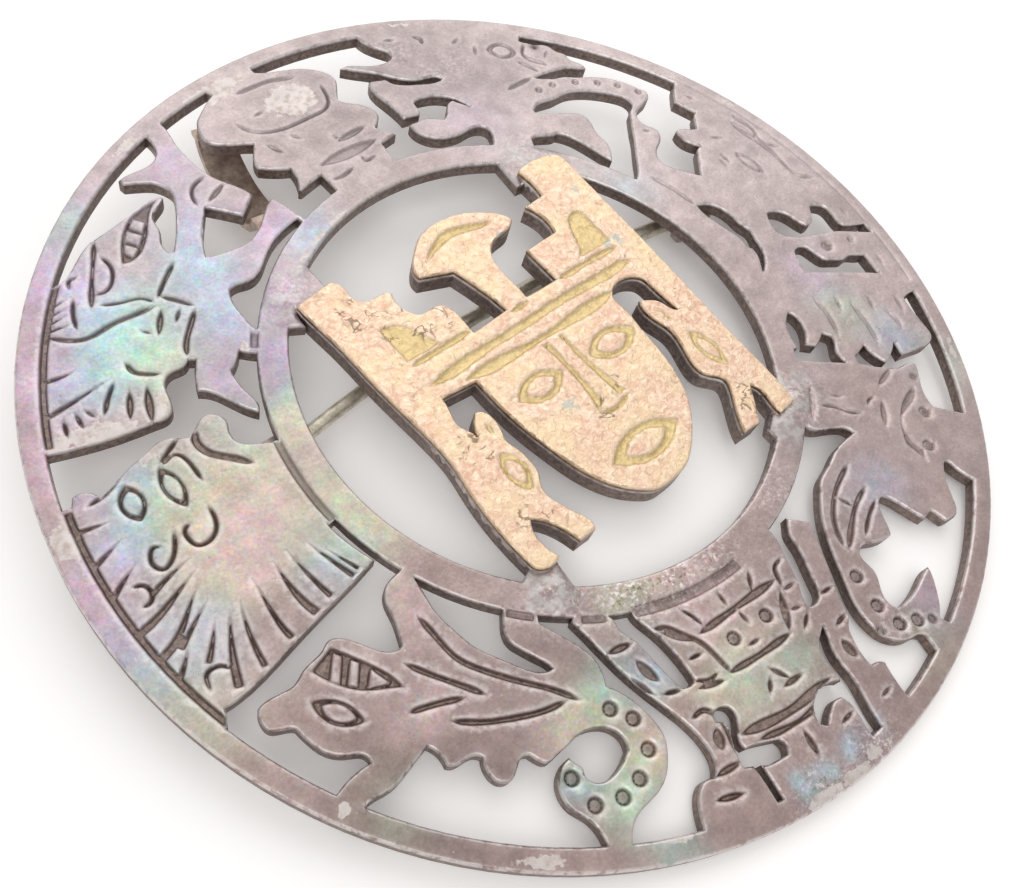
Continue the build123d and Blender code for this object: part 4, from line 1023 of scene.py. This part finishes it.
def silver_surface(name):
    """Tarnished silver, with its film, specks, solder, bare metal and dirt, painted shade in its
    grooves and a painted highlight on its rubbed edges.
    """
    s = Surface(name)
    groove, worn_highlight, bare = s.channels(s.attribute("marks"))
    solder, film, speckled = s.channels(s.attribute("layers"))
    broad = s.noise(0.8, rough=0.6)
    fine = s.noise(0.4, rough=0.6)
    grains = s.noise(0.24, rough=0.7)
    colour = s.mottled(s.attribute("tarnish_and_wall_shade"), s.noise(1.1, detail=4), 0.86)
    colour = s.mottled(colour, s.noise(0.16, rough=0.7), 0.88)
    rosy_share = s.ramp(s.noise(0.5, rough=0.65), 0.35, 0.65)
    colour = shimmering(s, colour, film, rosy_share, rosy_tint, green_tint)
    colour = shimmering(s, colour, film, s.ramp(grains, 0.38, 0.62), yellow_tint, blue_tint)
    colour = speckled_silver(s, colour, speckled, fine, grains)
    colour = soldered_silver(s, colour, solder, broad, fine)
    ragged = s.times(s.maths("SUBTRACT", s.noise(0.6, detail=4, rough=0.7), 0.5), 1.3)
    stripped = s.ramp(s.maths("ADD", bare, ragged), 0.4, 0.5)
    # Bare metal, and a painted highlight on the rubbed edges
    colour = bared_and_highlit(s, colour, stripped, worn_highlight, fine)
    colour = shaded_dirty_grooves(s, colour, groove, broad, grains)
    rough = s.maths("ADD", s.ramp(broad, 0.3, 0.7, 0.27, 0.42), s.times(groove, 0.2))
    rough = s.maths("ADD", rough, s.times(stripped, 0.12))
    bumps = s.bump(s.noise(0.9), 0.04)
    bumps = s.bump(s.noise(0.2, rough=0.6), 0.014, bumps)
    bumps = s.bump(s.noise(0.05, detail=2, rough=0.5, stretch=(0.7, 14)), 0.004, bumps)
    return s.finished(colour, 0.92, rough, bumps)


def uneven_gold(s, wrinkles):
    """Colours of the sheet, with a painted sparkle highlight, its stains and pits."""
    colour = s.mix(s.ramp(wrinkles, 0.34, 0.66), deep_gold, light_gold)
    stains = s.noise(0.7, detail=5, rough=0.7, warp=1.2)
    colour = s.mix(s.ramp(s.noise(2.6), 0.4, 0.65, 0, 0.7), colour, straw_gold)
    # Painted highlight: bright sparkle over the sheet
    colour = s.mix(s.ramp(s.noise(0.2, detail=4, rough=0.7), 0.56, 0.7, 0, 0.45), colour, gold_sparkle_highlight)
    colour = s.mix(s.ramp(stains, 0.57, 0.67, 0, 0.6), colour, stained_gold)
    return s.laid(colour, gold_pit, s.spots(0.5, 0.35, 0.2), 0.6)


def cracked(s, torn):
    """Thin broken cracks in the torn places."""
    ridge = s.maths("ABSOLUTE", s.maths("SUBTRACT", s.noise(1.3, warp=1.0), 0.5))
    cracks = s.times(s.ramp(torn, 0.25, 0.6), s.ramp(ridge, 0.012, 0.035, 1, 0))
    return s.times(cracks, s.ramp(s.noise(0.8, detail=2), 0.48, 0.56, 0, 0.8))


def gold_surface(name):
    """Worn gold sheet, with its engraving, corrosion, cracks and dark walls, and painted highlights as
    sparkle and on its rubbed edges.
    """
    s = Surface(name)
    groove, worn_highlight, line = s.channels(s.attribute("marks"))
    wall, green, torn = s.channels(s.attribute("wall"))
    wrinkles = s.noise(0.42, detail=4, rough=0.62, warp=0.9)
    fine = s.noise(0.35, rough=0.6)
    colour = uneven_gold(s, wrinkles)
    yellow = s.mix(s.ramp(fine, 0.3, 0.7), dark_groove, light_groove)
    colour = s.mix(s.ramp(groove, 0.2, 0.5, 0, 0.85), colour, yellow)
    colour = s.laid(colour, gold_outline, line, s.ramp(fine, 0.4, 0.6, 0.15, 0.75))
    # Painted highlight on the rubbed edges
    colour = s.laid(colour, worn_highlight_gold, worn_highlight, 0.35)
    ragged = s.maths("ADD", green, s.ramp(fine, 0.3, 0.7, -0.35, 0.35))
    colour = s.mix(s.ramp(ragged, 0.5, 0.75, 0, 0.7), colour, green_crust)
    colour = s.mix(cracked(s, torn), colour, gold_crack)
    dark = s.mix(s.ramp(fine, 0.35, 0.65), black_wall, brown_wall)
    colour = s.mix(s.ramp(wall, 0.05, 0.4), colour, dark)
    bumps = s.bump(wrinkles, 0.09)
    bumps = s.bump(s.noise(0.13, rough=0.6), 0.02, bumps)
    return s.finished(colour, 0.9, s.ramp(fine, 0.3, 0.7, 0.28, 0.5), bumps)


def fitting_surface(name, dark, light, rough):
    """Plain worn metal of a fitting on the back."""
    s = Surface(name)
    colour = s.mix(s.ramp(s.noise(0.5, detail=4, rough=0.6), 0.3, 0.7), dark, light)
    colour = s.mottled(colour, s.noise(0.12, rough=0.7), 0.85)
    roughness = s.ramp(s.noise(0.4), 0.3, 0.7, rough - 0.07, rough + 0.08)
    bumps = s.bump(s.noise(0.3, detail=4, rough=0.6), 0.012)
    bumps = s.bump(s.noise(0.05, detail=2, rough=0.5, stretch=(0.0, 10)), 0.003, bumps)
    return s.finished(colour, 0.85, roughness, bumps)


def floor_surface(name):
    """Nearly white ground that gives off a little light of its own."""
    s = Surface(name)
    s.put(s.shader.inputs["Base Color"], s.mix(s.noise(8), (0.94, 0.93, 0.925), (0.96, 0.952, 0.948)))
    s.shader.inputs["Roughness"].default_value = 0.8
    s.shader.inputs["Emission Color"].default_value = (1, 0.98, 0.975, 1)
    s.shader.inputs["Emission Strength"].default_value = 0.14
    return s.material


# Looks of the fittings: dark colour, light colour, roughness. The stem's and the bail's colours are
# made paler as painted light, standing in for the light they miss in the shade under the plate
brown_metal = ((0.26, 0.20, 0.18), (0.50, 0.42, 0.38), 0.44)
fitting_looks = {
    "pin_stem": ((0.50, 0.46, 0.36), (0.78, 0.73, 0.61), 0.36),
    "pin_hinge": brown_metal,
    "pin_catch": brown_metal,
    "pendant_bail": ((0.36, 0.27, 0.22), (0.61, 0.49, 0.41), 0.42),
}


def dress_fitting(node, look):
    """Give a fitting its metal and slightly worn edges."""
    fitting = frame["nodes"][node]
    fitting.data.materials.clear()
    fitting.data.materials.append(fitting_surface(node + "_metal", *look))
    bevel = fitting.modifiers.new("worn_edges", "BEVEL")
    bevel.width = worn_edge * MM
    bevel.segments = 2
    bevel.limit_method = "ANGLE"
    bevel.angle_limit = sharp_edge


def add_piece(name, mesh, body, slot, *nodes):
    """Show a mesh in place of CAD nodes, riding on a body."""
    piece = bpy.data.objects.new(name, mesh)
    bpy.context.scene.collection.objects.link(piece)
    mesh.polygons.foreach_set("use_smooth", [True] * len(mesh.polygons))
    mesh.set_sharp_from_angle(angle=sharp_edge)
    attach(piece, body)
    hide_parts(*nodes)


silver_mesh.materials.append(silver_surface("tarnished_silver"))
gold_mesh.materials.append(gold_surface("worn_gold"))
for node, look in fitting_looks.items():
    dress_fitting(node, look)
add_piece("pierced_silver", silver_mesh, "brooch", "silver", "pierced_frame")
add_piece("gold_mask_relief", gold_mesh, "brooch", "gold", "gold_mask")


# Floor, light and camera

# Half the width of the floor, in metres
floor_half = 1.5
warm_white = (1, 0.99, 0.98)
world_strength = 0.74
# Where the camera is, in millimetres, and which way its right and its top point, in the brooch's plane
camera_spot = Vector((-27.59, -15.71, 41.16))
camera_right = Vector((0.7445, -0.6344, 0.2086))
camera_up = Vector((0.4845, 0.7281, 0.4850))
camera_lens = 35.74
camera_sensor = 36


def lay_floor():
    """A flat ground under the brooch."""
    floor_mesh = bpy.data.meshes.new("floor")
    signs = ((-1, -1), (1, -1), (1, 1), (-1, 1))
    corners = [(i * floor_half, j * floor_half, 0) for i, j in signs]
    floor_mesh.from_pydata(corners, [], [(0, 1, 2, 3)])
    floor = bpy.data.objects.new("floor", floor_mesh)
    bpy.context.scene.collection.objects.link(floor)
    floor_mesh.materials.append(floor_surface("pale_floor"))


def light_world():
    """Even light from all around."""
    world = bpy.data.worlds.new("studio")
    world.use_nodes = True
    background = world.node_tree.nodes["Background"]
    background.inputs["Color"].default_value = (*warm_white, 1)
    background.inputs["Strength"].default_value = world_strength
    bpy.context.scene.world = world


def area_light(name, spot, size, power):
    """A round soft light that shines on the middle of the floor."""
    light = bpy.data.lights.new(name, "AREA")
    light.shape = "DISK"
    light.size = size
    light.energy = power
    light.color = warm_white
    holder = bpy.data.objects.new(name, light)
    holder.location = spot
    holder.rotation_mode = "QUATERNION"
    holder.rotation_quaternion = (-Vector(spot)).to_track_quat("-Z", "Y")
    bpy.context.scene.collection.objects.link(holder)


def set_camera():
    """The view of the photograph."""
    camera = bpy.data.objects.new("camera", bpy.data.cameras.new("camera"))
    bpy.context.scene.collection.objects.link(camera)
    sight_right = (turn @ camera_right).normalized()
    sight_up = (turn @ camera_up).normalized()
    sight_back = sight_right.cross(sight_up).normalized()
    sight_up = sight_back.cross(sight_right)
    facing = Matrix((sight_right, sight_up, sight_back)).transposed()
    camera.matrix_world = Matrix.Translation(place(camera_spot)) @ facing.to_4x4()
    camera.data.lens = camera_lens
    camera.data.sensor_width = camera_sensor
    camera.data.clip_start = 0.001
    camera.data.clip_end = 10
    bpy.context.scene.camera = camera


lay_floor()
light_world()
area_light("back_softbox", (0.5, 0.6, 0.75), size=1.3, power=3.4)
area_light("front_softbox", (-0.6, -0.5, 1.0), size=0.8, power=3.0)
set_camera()
bpy.context.scene.view_settings.view_transform = "Standard"
